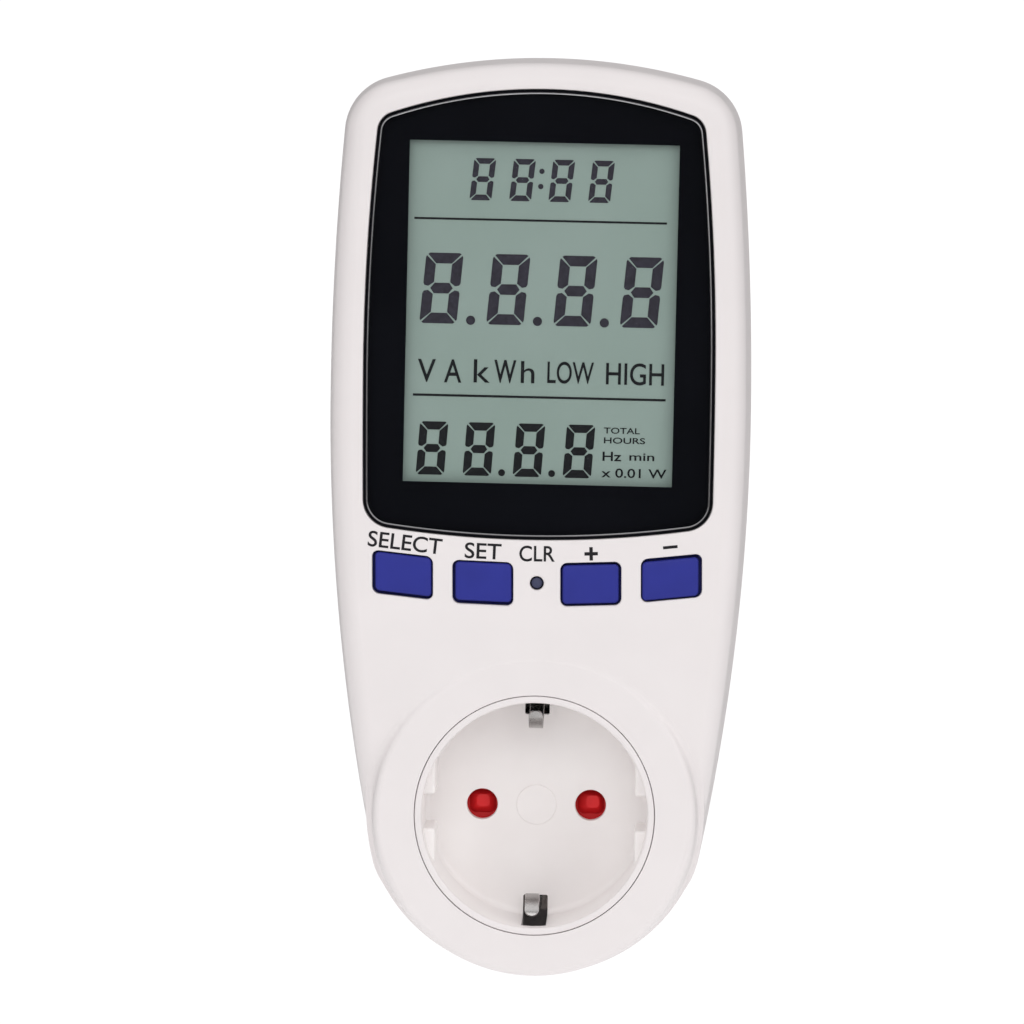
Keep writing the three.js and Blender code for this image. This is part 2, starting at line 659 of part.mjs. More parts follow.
// earth clip: a sprung strip that bows into the recess and flares out at its free end
const CLIP_ROOT = 18.4;
const CLIP_END = 53;
function buildEarthClip(side) {
  const path = [
    at(CLIP_ROOT, 23.3), at(CLIP_ROOT, 37), at(17.6, 41), at(15.9, 45),
    at(14.8, 48), at(14.8, 49.6), at(15.8, 51.4), at(17.9, CLIP_END + 0.2),
  ];
  const face = [
    at(CLIP_ROOT, -CLIP_HALF),
    ...arcPoints(at(CLIP_END - CLIP_HALF, 0), CLIP_HALF, -Math.PI / 2, Math.PI / 2, 6),
    at(CLIP_END - CLIP_HALF, CLIP_HALF),
    at(CLIP_ROOT, CLIP_HALF),
  ];
  const strip = alongX(band(path, 0.6), -CLIP_HALF, CLIP_HALF);
  const clip = strip.intersect(alongY(face, 0, RECESS_R));
  return side > 0 ? clip : clip.mirror([0, 1, 0]);
}
add('earth_clip_upper', buildEarthClip(1), 'nickel');
add('earth_clip_lower', buildEarthClip(-1), 'nickel');
add('earth_bridge', box(-2.4, -20.6, BRIDGE_Z, 2.4, 20.6, BRIDGE_Z + 0.8), 'nickel');

// ---- plug ----
function plugRing(radius, flat) {
  return circle(0, 0, radius, ROUND).map((p) => at(Math.max(-flat, Math.min(flat, p.x)), p.y));
}

function buildPlugBody() {
  const shell = stack([
    [plugRing(PLUG_R - 0.9, PLUG_FLAT_X - 0.5), 0],
    [plugRing(PLUG_R - 0.15, PLUG_FLAT_X - 0.1), 0.9],
    [plugRing(PLUG_R, PLUG_FLAT_X), 2.4],
    [plugRing(PLUG_R, PLUG_FLAT_X), BACK_FACE + WALL + 0.4],
  ]);
  const flange = rod(0, 0, 22.2, BACK_FACE + WALL + GAP, FLANGE_TOP, ROUND);
  const hollow = rod(0, 0, 16.2, PLUG_FLOOR, FLANGE_TOP + 1, ROUND).intersect(
    box(-14.6, -13.8, PLUG_FLOOR - 1, 14.6, 13.8, FLANGE_TOP + 2),
  );
  const groove = box(-GROOVE_HALF, GROOVE_IN, -1, GROOVE_HALF, 19.4, FLANGE_TOP + 1);
  let body = cut(join(shell, flange), hollow);
  for (const side of [-1, 1]) {
    body = cut(body, groove.scale([1, side, 1]));
    body = join(body, rod(side * PIN_X, 0, 4.1, PLUG_FLOOR - 0.2, 9, 20));
    body = cut(body, rod(side * PIN_X, 0, PIN_HOLE_R, -1, 10, 24));
  }
  return cut(body, rod(0, EARTH_HOLE_Y, 2.8, -1, PLUG_FLOOR + 1, 24));
}
add('plug_body', buildPlugBody(), 'housing');

function buildPin(x) {
  const rings = [
    [0.9, PIN_TIP], [1.7, PIN_TIP + 0.5], [PIN_R, PIN_TIP + 1.6],
    [PIN_R, 9.3], [3.4, 9.3], [3.4, 10.5], [1.8, 10.5], [1.8, 16.8],
  ];
  return stack(rings.map(([radius, z]) => [circle(x, 0, radius, 24), z]));
}
add('pin_line', buildPin(-PIN_X), 'nickel');
add('pin_neutral', buildPin(PIN_X), 'nickel');

function buildPlugEarth(side) {
  const path = [at(16.2, 0.8), at(16.7, 1.8), at(17, 5), at(17, 14), at(16.2, 17), at(16.2, 21.4)];
  const strip = alongX(band(path, 0.7), -2.2, 2.2);
  return side > 0 ? strip : strip.mirror([0, 1, 0]);
}
add('plug_earth_upper', buildPlugEarth(1), 'nickel');
add('plug_earth_lower', buildPlugEarth(-1), 'nickel');
add('earth_sleeve', cut(
  rod(0, EARTH_HOLE_Y, 3.2, PLUG_FLOOR + GAP, BRIDGE_Z - GAP, 24),
  rod(0, EARTH_HOLE_Y, 2.6, PLUG_FLOOR, BRIDGE_Z, 24),
), 'nickel');

// ---- wires inside ----
function addWire(name, points, radius, finish) {
  const path = new THREE.CatmullRomCurve3(points.map((p) => new THREE.Vector3(...p)));
  const section = new THREE.Shape(circle(0, 0, radius, 7));
  const swept = new THREE.ExtrudeGeometry(section, { steps: 14, extrudePath: path, bevelEnabled: false });
  swept.deleteAttribute('normal');
  swept.deleteAttribute('uv');
  const merged = mergeVertices(swept, 1e-4);
  add(name, new wasm.Manifold(new wasm.Mesh({
    numProp: 3,
    vertProperties: new Float32Array(merged.attributes.position.array),
    triVerts: new Uint32Array(merged.index.array),
  })), finish);
}
addWire('wire_line_in', [
  [-9.5, 2.9, 13], [-9.5, 6, 14.5], [-9.5, 9.3, 18], [-9.5, 10.9, 21], [-9.5, 13, 22.75],
  [-9.8, 17, 22.85], [-11, 22, 23.5], [-12, 27, 30], [-12.4, 34, 40], [-12.4, 38.2, 45.6],
], 0.8, 'wire_brown');
addWire('wire_line_out', [
  [-6.2, 4.5, 18], [-6, 7, 19], [-6, 10.5, 21], [-6, 13, 22.75], [-6, 18, 22.9],
  [-6, 24, 26], [-6.4, 30, 36], [-7, 38, 43.5], [-7.5, 41, 45.6],
], 0.8, 'wire_brown');
addWire('wire_neutral', [
  [8.5, 4.3, 18], [8.5, 7.5, 19], [8.5, 10.5, 21], [8.5, 13, 22.75], [8.5, 18, 22.9],
  [8.5, 24, 26], [8.5, 30, 36], [8.5, 35, 42], [8.5, 37, 45.6],
], 0.6, 'wire_blue');

// ---- screws ----
function buildScrew(x, y, headZ, headR, shankR, length) {
  const rings = [
    [headR - 0.3, 0], [headR, 0.4], [headR, 1.5],
    [shankR, 1.5], [shankR, length - 0.8], [shankR * 0.5, length],
  ];
  const body = stack(rings.map(([radius, z]) => [circle(x, y, radius, SMALL), headZ + z]));
  const reach = headR * 0.6;
  const slotTop = headZ + 0.4;
  return cut(
    body,
    box(x - reach, y - 0.25, headZ - 1, x + reach, y + 0.25, slotTop),
    box(x - 0.25, y - reach, headZ - 1, x + 0.25, y + reach, slotTop),
  );
}
CASE_SCREWS.forEach(([x, y], i) => {
  const screw = buildScrew(x, y, PAN_BACK + 5.2, CASE_HEAD_R, CASE_SHANK_R, CASE_SCREW_LENGTH);
  add(`case_screw_${i + 1}`, screw, 'steel');
});
BOARD_SCREWS.forEach(([x, y], i) => {
  const screw = buildScrew(x, y, BOARD_BACK - 1.8, BOARD_HEAD_R, BOARD_SHANK_R, BOARD_SCREW_LENGTH);
  add(`board_screw_${i + 1}`, screw, 'steel');
});

meter.rotation.x = Math.PI / 2;
const group = new THREE.Group();
group.name = 'plug_in_power_meter';
group.add(meter);
export default group;
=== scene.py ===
"""Looks of the plug-in power meter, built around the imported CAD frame.

Shape code works in millimetres in the meter's own axes: x right, y up, z towards the user, with the
origin at the centre of the plug's end face. to_object() turns those axes into the frame's, and
finish_piece() scales them to metres.
"""
import math

import bmesh
import bpy
from mathutils import Matrix, Vector
from mathutils.bvhtree import BVHTree
from mathutils.geometry import delaunay_2d_cdt


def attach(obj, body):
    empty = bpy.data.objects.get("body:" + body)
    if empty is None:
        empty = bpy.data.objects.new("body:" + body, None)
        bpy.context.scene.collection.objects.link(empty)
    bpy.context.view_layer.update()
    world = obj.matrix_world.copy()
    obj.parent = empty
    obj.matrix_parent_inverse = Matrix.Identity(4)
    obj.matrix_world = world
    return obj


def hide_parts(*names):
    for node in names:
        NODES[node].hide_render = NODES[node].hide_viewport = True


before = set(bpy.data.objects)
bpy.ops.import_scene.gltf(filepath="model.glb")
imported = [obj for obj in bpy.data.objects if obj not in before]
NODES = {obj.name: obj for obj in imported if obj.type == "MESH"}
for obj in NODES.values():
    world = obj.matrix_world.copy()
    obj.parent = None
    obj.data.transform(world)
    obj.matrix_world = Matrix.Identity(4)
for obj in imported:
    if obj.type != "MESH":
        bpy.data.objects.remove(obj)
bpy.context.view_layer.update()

PI = math.pi

# ---- dimensions shared with the CAD model, in mm ----
WALL = 2.2
BACK_FACE = 17.5
PAN_BACK = 29.0
SOCKET_BACK = 37.0
SOCKET_FLOOR = 39.0
PARTING = 40.0
SEAM = 0.15  # half the gap between the covers, and the size of their seam edges
LENS_BACK = 54.4
LENS_FRONT = 55.6
FRONT = 56.0
RIM = 56.5
CASE_SCREWS = [(-22, 123.2), (22, 123.2), (-26, 24), (26, 24)]
BOARD_SCREWS = [(-16.2, 32.4), (16.2, 32.4)]
HOUSING = dict(half=36.7, wide_y=70, upper=545, lower=385, top=130.6, top_r=104, corner=10)
LOW_R = 29.5
LOW_CORNER = 2.5
LOW_TANGENT = math.radians(-30)
BOSS_FRONT_R = 27.95
BOSS_BACK_R = 26.6
CREST_Y, CREST_EASE, CREST_FALL = 32.5, 5.5, 285  # where the front face stands highest, and its slopes
DRAFT_INSET = 0.12  # how far the bosses' walls stay inside the housing's outline
RECESS_R, INSERT_R, COVER_HOLE_R = 19.5, 20.69, 20.8
LENS = dict(half=30.3, wide_y=76.5, upper=410, lower=1600, top=125.07, top_r=81, corner=3.5,
            bottom=47.6, bottom_r=185, low_corner=5)
KEYS = {  # side, x, y, tilt in degrees, and how far the cap sits off the middle of its hole
    "mode": (-23.15, 41.35, -6.1, 0.13, 0.12),
    "set": (-9.3, 40.15, -2.0, 0.1, 0.15),
    "up": (9.3, 40.15, 2.0, -0.05, -0.02),
    "down": (23.15, 41.35, 6.1, -0.19, -0.15),
}
KEY_W, KEY_H, KEY_CORNER, KEY_TOP = 9.7, 6.7, 0.8, 55.8
KEY_LEAN = math.tan(math.radians(0.6))  # the keys' sides stand nearly upright, whatever their slope
RESET_Y = 40.2
PIN_X = 9.5
PIN_R = 2.4
PIN_HOLE_R = 2.7

# ---- outlines ----


def arc(centre, radius, start, end, steps):
    """Points on an arc without its last one."""
    turns = [start + (end - start) * i / steps for i in range(steps)]
    return [(centre[0] + radius * math.cos(t), centre[1] + radius * math.sin(t)) for t in turns]


def quarter(steps):
    """Sine and one minus cosine of the turns that split a quarter circle into steps."""
    turns = [PI / 2 * i / steps for i in range(steps + 1)]
    return [(math.sin(t), 1 - math.cos(t)) for t in turns]


def unit(degrees):
    """Cosine and sine of a turn in degrees."""
    return math.cos(math.radians(degrees)), math.sin(math.radians(degrees))


def circle(x, y, radius, steps=48):
    return arc((x, y), radius, 0, 2 * PI, steps)


def round_rect(x, y, width, height, radius, tilt=0.0, steps=8):
    """Rectangle with round corners, turned by tilt degrees about its centre."""
    points = []
    for i, (sx, sy) in enumerate([(1, 1), (-1, 1), (-1, -1), (1, -1)]):
        centre = (sx * (width / 2 - radius), sy * (height / 2 - radius))
        points += arc(centre, radius, i * PI / 2, (i + 1) * PI / 2, steps)
        end = (i + 1) * PI / 2
        points.append((centre[0] + radius * math.cos(end), centre[1] + radius * math.sin(end)))
    c, s = unit(tilt)
    return [(x + c * px - s * py, y + s * px + c * py) for px, py in points]


def meet(a, ra, b, rb, side):
    """Where two circles cross: the upper (side 1) or lower (side -1) of the two points."""
    a, b = Vector(a), Vector(b)
    span = b - a
    along = (ra ** 2 - rb ** 2 + span.length_squared) / (2 * span.length)
    off = math.sqrt(ra ** 2 - along ** 2)
    way = span.normalized()
    foot = a + way * along
    normal = Vector((-way.y, way.x))
    return max(foot + normal * off, foot - normal * off, key=lambda p: side * p.y)


def angle(a, b):
    return math.atan2(b[1] - a[1], b[0] - a[0])


def mirrored(right):
    return right + [(-x, y) for x, y in reversed(right) if x > 0.01]


def upper_arcs(o, inset, steps):
    side = (o["half"] - o["upper"], o["wide_y"])
    top = (0, o["top"] - o["top_r"])
    corner = meet(side, o["upper"] - o["corner"], top, o["top_r"] - o["corner"], 1)
    first, second = angle(side, corner), angle(top, corner)
    return (
        arc(side, o["upper"] - inset, 0, first, steps[0])
        + arc(corner, o["corner"] - inset, first, second, steps[1])
        + arc(top, o["top_r"] - inset, second, PI / 2, steps[2])
        + [(0, o["top"] - inset)]
    )


def housing_outline(inset):
    side = Vector((HOUSING["half"] - HOUSING["lower"], HOUSING["wide_y"]))
    normal = Vector((math.cos(LOW_TANGENT), math.sin(LOW_TANGENT)))
    run = Vector((-normal.y, normal.x))
    reach = LOW_R - inset - LOW_CORNER
    radius = HOUSING["lower"] - inset - LOW_CORNER
    start = normal * reach - side
    half = start.dot(run)
    travel = -half + math.sqrt(half ** 2 - start.length_squared + radius ** 2)
    corner = normal * reach + run * travel
    turn = angle(side, corner)
    return mirrored(
        arc((0, 0), LOW_R - inset, -PI / 2, LOW_TANGENT, 28)
        + [tuple(normal * (LOW_R - inset))]
        + arc(corner, LOW_CORNER, LOW_TANGENT, turn, 6)
        + arc(side, HOUSING["lower"] - inset, turn, 0, 34)
        + upper_arcs(HOUSING, inset, (20, 14, 16))
    )


def lens_outline(inset):
    side = (LENS["half"] - LENS["lower"], LENS["wide_y"])
    bottom = (0, LENS["bottom"] + LENS["bottom_r"])
    r = LENS["low_corner"]
    corner = meet(side, LENS["lower"] - r, bottom, LENS["bottom_r"] - r, -1)
    first, second = angle(bottom, corner), angle(side, corner)
    return mirrored(
        arc(bottom, LENS["bottom_r"] - inset, -PI / 2, first, 12)
        + arc(corner, r - inset, first, second, 12)
        + arc(side, LENS["lower"] - inset, second, 0, 8)
        + upper_arcs(LENS, inset, (10, 10, 14))
    )


def smooth(t):
    t = min(max(t, 0.0), 1.0)
    return t * t * (3 - 2 * t)


def front_height(y):
    """The front face: flat by the display, level with the socket rim above it, falling away below."""
    if y >= CREST_Y:
        return FRONT + (RIM - FRONT) * smooth((CREST_Y + CREST_EASE - y) / CREST_EASE)
    return RIM - (CREST_Y - y) ** 2 / CREST_FALL


# ---- meshes ----


class Shape:
    """Points and faces of closed bodies, in the meter's axes."""

    def __init__(self):
        self.points, self.faces = [], []

    def ring(self, points):
        first = len(self.points)
        self.points += [tuple(p) for p in points]
        return list(range(first, len(self.points)))

    def bridge(self, a, b):
        count = len(a)
        self.faces += [(a[i], a[(i + 1) % count], b[(i + 1) % count], b[i]) for i in range(count)]

    def fill(self, ring):
        self.faces.append(tuple(ring))

    def loft(self, sections):
        rings = [self.ring(section) for section in sections]
        for a, b in zip(rings, rings[1:]):
            self.bridge(a, b)
        self.fill(rings[0])
        self.fill(rings[-1])

    def cap(self, ring, height, inside=(), loops=()):
        """Triangles inside a ring, through extra inside points and round extra loops."""
        flat = [Vector(self.points[i][:2]) for i in ring]
        edges = [(i, (i + 1) % len(ring)) for i in range(len(ring))]
        for loop in loops:
            first = len(flat)
            flat += [Vector(p) for p in loop]
            edges += [(first + i, first + (i + 1) % len(loop)) for i in range(len(loop))]
        flat += [Vector(p) for p in inside]
        made, _, faces, origin, _, _ = delaunay_2d_cdt(flat, edges, [], 1, 1e-5)
        index = []
        for point, source in zip(made, origin):
            if source and source[0] < len(ring):
                index.append(ring[source[0]])
            else:
                index.append(self.ring([(point.x, point.y, height(point.x, point.y))])[0])
        self.faces += [tuple(index[i] for i in face) for face in faces]


def loft(sections):
    """Closed body through sections of (x, y, z) points, with flat ends."""
    shape = Shape()
    shape.loft(sections)
    return shape


def stack(levels):
    """Closed body through flat rings; each level is (ring, depth)."""
    return loft([[(x, y, z) for x, y in ring] for ring, z in levels])


def prism(ring, low, high):
    return stack([(ring, low), (ring, high)])


def turned(x, y, profile, steps=64):
    """Round body along z; the profile is a list of (radius, z)."""
    return stack([(circle(x, y, r, steps), z) for r, z in profile])


def rod(x, y, radius, low, high, steps=64):
    return turned(x, y, [(radius, low), (radius, high)], steps)


def box_shape(x0, y0, z0, x1, y1, z1):
    (x0, x1), (y0, y1) = sorted((x0, x1)), sorted((y0, y1))
    return prism([(x0, y0), (x1, y0), (x1, y1), (x0, y1)], z0, z1)


def flared(ring_at, low, top, radius, steps=5):
    """Cutter whose mouth leaves a rounded edge of that radius on the face it cuts."""
    edge = [(ring_at(radius * away), top - radius + radius * up) for up, away in quarter(steps)]
    return stack([(ring_at(0), low)] + edge + [(ring_at(radius), top + 1.5)])


def rounded_rod(x, y, radius, low, top, edge, steps=48):
    """Round post with a rounded top edge."""
    turns = [PI / 2 * i / 5 for i in range(6)]
    rise = [(radius - edge + edge * math.cos(t), top - edge + edge * math.sin(t)) for t in turns]
    return turned(x, y, [(radius, low)] + rise, steps)


def mirror_y(shape):
    shape.points = [(x, -y, z) for x, y, z in shape.points]
    return shape


def add_object(name, data):
    obj = bpy.data.objects.new(name, data)
    bpy.context.scene.collection.objects.link(obj)
    return obj


def to_object(name, shape):
    mesh = bpy.data.meshes.new(name)
    mesh.from_pydata([(x, -z, y) for x, y, z in shape.points], [], shape.faces)
    bm = bmesh.new()
    bm.from_mesh(mesh)
    bmesh.ops.recalc_face_normals(bm, faces=bm.faces)
    bm.to_mesh(mesh)
    bm.free()
    return add_object(name, mesh)


def apply_modifiers(obj):
    graph = bpy.context.evaluated_depsgraph_get()
    mesh = bpy.data.meshes.new_from_object(obj.evaluated_get(graph))
    old = obj.data
    obj.modifiers.clear()
    obj.data = mesh
    bpy.data.meshes.remove(old)
    return obj


def combine(obj, operation, shapes):
    """Boolean of obj with shapes or objects, which are used up."""
    used = [s if isinstance(s, bpy.types.Object) else to_object("tool", s) for s in shapes]
    for tool in used:
        modifier = obj.modifiers.new("cut", "BOOLEAN")
        modifier.operation = operation
        modifier.solver = "MANIFOLD"
        modifier.object = tool
    apply_modifiers(obj)
    for tool in used:
        mesh = tool.data
        bpy.data.objects.remove(tool)
        bpy.data.meshes.remove(mesh)
    return obj


def join(obj, *shapes):
    return combine(obj, "UNION", shapes)


def cut(obj, *shapes):
    return combine(obj, "DIFFERENCE", shapes)


def keep(obj, shape):
    return combine(obj, "INTERSECT", [shape])


def bevelled(shape, width, segments=3, limit=40):
    """Object of a shape with its sharp edges rounded."""
    obj = to_object("bevelled", shape)
    modifier = obj.modifiers.new("bevel", "BEVEL")
    modifier.width = width
    modifier.segments = segments
    modifier.limit_method = "ANGLE"
    modifier.angle_limit = math.radians(limit)
    return apply_modifiers(obj)


def finish_piece(obj, name, materials, slot, body="housing", stands_for=(), sharp=32, weighted=True):
    """Scales a piece to metres, shades it and ties it to the frame."""
    obj.name = name
    obj.data.name = name
    obj.data.transform(Matrix.Scale(0.001, 4))
    bm = bmesh.new()
    bm.from_mesh(obj.data)
    bmesh.ops.remove_doubles(bm, verts=bm.verts, dist=2e-7)
    bmesh.ops.dissolve_degenerate(bm, edges=bm.edges, dist=2e-7)
    bm.to_mesh(obj.data)
    bm.free()
    if not isinstance(materials, (list, tuple)):
        materials = [materials]
    for i, material in enumerate(materials):
        if i < len(obj.data.materials):
            obj.data.materials[i] = material
        else:
            obj.data.materials.append(material)
    for polygon in obj.data.polygons:
        polygon.use_smooth = True
    obj.data.set_sharp_from_angle(angle=math.radians(sharp))
    if weighted:
        modifier = obj.modifiers.new("shading", "WEIGHTED_NORMAL")
        modifier.keep_sharp = True
    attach(obj, body)
    if stands_for:
        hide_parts(*stands_for)
    return obj


def piece(shape, name, materials, slot, **more):
    obj = shape if isinstance(shape, bpy.types.Object) else to_object(name, shape)
    return finish_piece(obj, name, materials, slot, **more)


# ---- materials ----


def srgb(*values):
    return [((v / 255 + 0.055) / 1.055) ** 2.4 if v > 10 else v / 255 / 12.92 for v in values] + [1.0]


class Look:
    """Builds one node-based material."""

    def __init__(self, name):
        self.material = bpy.data.materials.new(name)
        self.material.use_nodes = True
        self.tree = self.material.node_tree
        self.shader = self.tree.nodes["Principled BSDF"]
        self.place = self.tree.nodes.new("ShaderNodeTexCoord").outputs["Object"]

    def node(self, kind, **settings):
        node = self.tree.nodes.new("ShaderNode" + kind)
        for key, value in settings.items():
            setattr(node, key, value)
        return node

    def link(self, a, b):
        self.tree.links.new(a, b)

    def stretched(self, scale):
        mapping = self.node("Mapping")
        mapping.inputs["Scale"].default_value = scale
        self.link(self.place, mapping.inputs["Vector"])
        return mapping.outputs["Vector"]

    def noise(self, size, detail=2.0, rough=0.5, stretch=None):
        """Noise with features of about that size in mm, from 0 to 1."""
        node = self.node("TexNoise")
        node.inputs["Scale"].default_value = 1000 / size
        node.inputs["Detail"].default_value = detail
        node.inputs["Roughness"].default_value = rough
        self.link(self.stretched(stretch) if stretch else self.place, node.inputs["Vector"])
        return node.outputs["Fac"]

    def remap(self, value, low, high, start=0.3, end=0.7):
        node = self.node("MapRange")
        for key, number in zip(("From Min", "From Max", "To Min", "To Max"), (start, end, low, high)):
            node.inputs[key].default_value = number
        self.link(value, node.inputs["Value"])
        return node.outputs["Result"]

    def mix(self, factor, a, b):
        """Colour a where factor is 0 and b where it is 1."""
        node = self.node("Mix", data_type="RGBA")
        self.link(factor, node.inputs[0])
        for socket, value in ((node.inputs[6], a), (node.inputs[7], b)):
            if isinstance(value, list):
                socket.default_value = value
            else:
                self.link(value, socket)
        return node.outputs[2]

    def specks(self, spacing, radius, share):
        """1 inside sparse round specks: one in each chosen cell of the spacing, in mm."""
        cells = self.node("TexVoronoi")
        cells.inputs["Scale"].default_value = 1000 / spacing
        self.link(self.place, cells.inputs["Vector"])
        near = self.remap(cells.outputs["Distance"], 1, 0, radius / spacing * 0.7, radius / spacing)
        split = self.node("SeparateColor")
        self.link(cells.outputs["Color"], split.inputs["Color"])
        chosen = self.node("Math", operation="LESS_THAN")
        chosen.inputs[1].default_value = share
        self.link(split.outputs[0], chosen.inputs[0])
        both = self.node("Math", operation="MULTIPLY")
        self.link(near, both.inputs[0])
        self.link(chosen.outputs[0], both.inputs[1])
        return both.outputs[0]

    def patchy(self, size, detail, a, b):
        """Colour that drifts between a and b in patches of about that size in mm."""
        return self.mix(self.remap(self.noise(size, detail), 0, 1), a, b)

    def bump(self, height, depth):
        """Adds a bump of that depth in mm, over any bump already there."""
        node = self.node("Bump")
        node.inputs["Strength"].default_value = 1.0
        node.inputs["Distance"].default_value = depth / 1000
        self.link(height, node.inputs["Height"])
        normal = self.shader.inputs["Normal"]
        if normal.links:
            self.link(normal.links[0].from_socket, node.inputs["Normal"])
        self.link(node.outputs["Normal"], normal)

    def done(self, color, polish=None, low=0.0, high=0.0, **values):
        """The material, with its colour, a roughness that follows the polish noise, and other values."""
        self.link(color, self.shader.inputs["Base Color"])
        if polish:
            self.link(self.remap(polish, low, high), self.shader.inputs["Roughness"])
        for key, value in values.items():
            self.shader.inputs[key.replace("_", " ")].default_value = value
        return self.material


def shaded(color, factor):
    return [min(c * factor, 1.0) for c in color[:3]] + [1.0]


def plastic(name, color, rough, vary=0.03, grain=0.35, depth=0.006, blotch=14.0, spread=0.06,
            ior_level=0.5, specks=None):
    """Moulded plastic: faint blotches, spark-eroded grain, and dust specks if asked."""
    look = Look(name)
    base = look.patchy(blotch, 3, shaded(color, 1 - vary), shaded(color, 1 + vary))
    if specks:
        tint, spacing, radius, share = specks
        base = look.mix(look.specks(spacing, radius, share), base, tint)
    look.bump(look.noise(grain, 3, 0.6), depth)
    return look.done(base, look.noise(blotch / 4, 4), rough - spread, rough + spread,
                     Specular_IOR_Level=ior_level)


def metal(name, color, rough, stretch=(1, 1, 6), scratch=0.25, depth=0.004, tarnish=0.12, blotch=5.0):
    """Plated or bare metal: drawn lines, uneven polish and a little tarnish."""
    look = Look(name)
    lines = look.noise(scratch, 3, 0.6, stretch)
    look.bump(lines, depth)
    base = look.patchy(blotch, 4, shaded(color, 1 - tarnish), color)
    return look.done(base, lines, rough * 0.75, rough * 1.3, Metallic=1.0)


WHITE_DUST = (srgb(205, 205, 210), 6.0, 0.11, 0.16)
GREY_DUST = (srgb(168, 162, 162), 11.0, 0.2, 0.07)
PLASTICS = {  # colour, roughness and the rest
    "housing": ((233, 227, 227), 0.42, dict(vary=0.012, depth=0.005, specks=GREY_DUST)),
    "window": ((13, 14, 19), 0.07, dict(vary=0.2, grain=2.5, depth=0.002, blotch=30, spread=0.02,
                                        ior_level=0.06, specks=WHITE_DUST)),
    "keys": ((36, 43, 138), 0.48, dict(vary=0.05, grain=0.22, depth=0.008, blotch=5, ior_level=0.3)),
    "carbon": ((28, 28, 30), 0.85, dict(grain=0.1, depth=0.01)),
    "silicone": ((185, 189, 194), 0.6, dict(grain=0.3, depth=0.008)),
    "zebra": ((217, 160, 168), 0.7, dict(grain=0.15, depth=0.01)),
    "film": ((223, 226, 224), 0.3, dict(grain=1.0, depth=0.002)),
    "chip": ((26, 26, 28), 0.55, dict(grain=0.12, depth=0.006)),
    "film_cap": ((206, 168, 38), 0.45, dict(grain=0.8, depth=0.006)),
    "can": ((30, 33, 44), 0.35, dict(grain=0.6, depth=0.003)),
    "varistor": ((34, 78, 158), 0.4, dict(vary=0.06, grain=0.6, depth=0.02)),
    "resistor": ((112, 152, 180), 0.45, dict(grain=0.5, depth=0.01)),
    "battery": ((46, 138, 78), 0.4, dict(grain=0.8, depth=0.004)),
    "wire_brown": ((104, 62, 36), 0.45, dict(grain=0.6, depth=0.004)),
    "wire_blue": ((40, 86, 172), 0.45, dict(grain=0.6, depth=0.004)),
    "shutter": ((230, 36, 40), 0.34, dict(vary=0.04, grain=0.4, depth=0.004, blotch=3, ior_level=0.35)),
    "holder": ((24, 23, 24), 0.6, dict(grain=0.3, depth=0.008)),
}
METALS = {  # colour, roughness and tarnish
    "crystal": ((190, 192, 196), 0.28, 0.12),
    "manganin": ((178, 124, 78), 0.35, 0.12),
    "steel": ((190, 192, 196), 0.3, 0.12),
    "brass": ((206, 170, 96), 0.28, 0.12),
    "nickel": ((208, 205, 200), 0.2, 0.1),
    "clip": ((176, 173, 172), 0.28, 0.2),
}
LOOKS = {}
for name, (color, rough, more) in PLASTICS.items():
    LOOKS[name] = plastic(name, srgb(*color), rough, **more)
for name, (color, rough, tarnish) in METALS.items():
    LOOKS[name] = metal(name, srgb(*color), rough, tarnish=tarnish)


def board_look():
    """Green solder mask with copper runs showing through it."""
    look = Look("board")
    tracks = look.node("TexBrick")
    tracks.inputs["Scale"].default_value = 260
    tracks.inputs["Mortar Size"].default_value = 0.035
    look.link(look.stretched((1, 0.001, 1)), tracks.inputs["Vector"])
    look.bump(tracks.outputs["Fac"], 0.03)
    base = look.mix(tracks.outputs["Fac"], srgb(28, 96, 52), srgb(48, 124, 70))
    return look.done(base, look.noise(3), 0.35, 0.5)


def cell_look():
    """Front of the liquid crystal cell: grey-green, a little darker and bluer in soft patches."""
    look = Look("cell_face")
    broad = look.patchy(28, 2, srgb(156, 176, 168), srgb(164, 182, 176))
    base = look.mix(look.remap(look.noise(0.25, 2), 0, 0.25), broad, srgb(138, 156, 150))
    look.bump(look.noise(0.4, 2), 0.002)
    return look.done(base, look.noise(6), 0.3, 0.42, Specular_IOR_Level=0.25)


def clear_look():
    """Clear middle of the display window, slightly smoked."""
    look = Look("window_clear")
    base = look.mix(look.specks(*WHITE_DUST[1:]), srgb(10, 12, 12), srgb(190, 190, 190))
    return look.done(base, look.noise(20), 0.04, 0.08, Alpha=0.07, Specular_IOR_Level=0.5)


def ink(name, color):
    """Printed or driven marks: nearly flat colour with a faint unevenness."""
    look = Look(name)
    base = look.patchy(0.8, 3, shaded(color, 0.8), shaded(color, 1.25))
    return look.done(base, look.noise(0.3), 0.45, 0.6, Specular_IOR_Level=0.2)


def insert_look():
    """White insert with painted light: whiter deeper in the recess, where the rim shades it, and greyer on
    the rim's top 1.6 mm.
    """
    look = Look("insert")
    split = look.node("SeparateXYZ")
    look.link(look.place, split.inputs[0])
    # painted light: colour set by depth, greyer over the rim's top 1.6 mm and whiter below it, lifting the
    # shade in the recess
    rim_band_mask = look.remap(split.outputs[1], 1, 0, -RIM / 1000, (1.6 - RIM) / 1000)
    broad = look.remap(look.noise(14, 3), 0, 1)
    painted_lit_recess = look.mix(broad, srgb(247, 242, 241), srgb(251, 247, 246))
    rim_tone = look.mix(broad, srgb(232, 226, 226), srgb(236, 230, 230))
    base = look.mix(look.specks(*GREY_DUST[1:]), look.mix(rim_band_mask, painted_lit_recess, rim_tone), GREY_DUST[0])
    look.bump(look.noise(0.5, 3, 0.6), 0.004)
    return look.done(base, look.noise(3.5, 4), 0.3, 0.42)


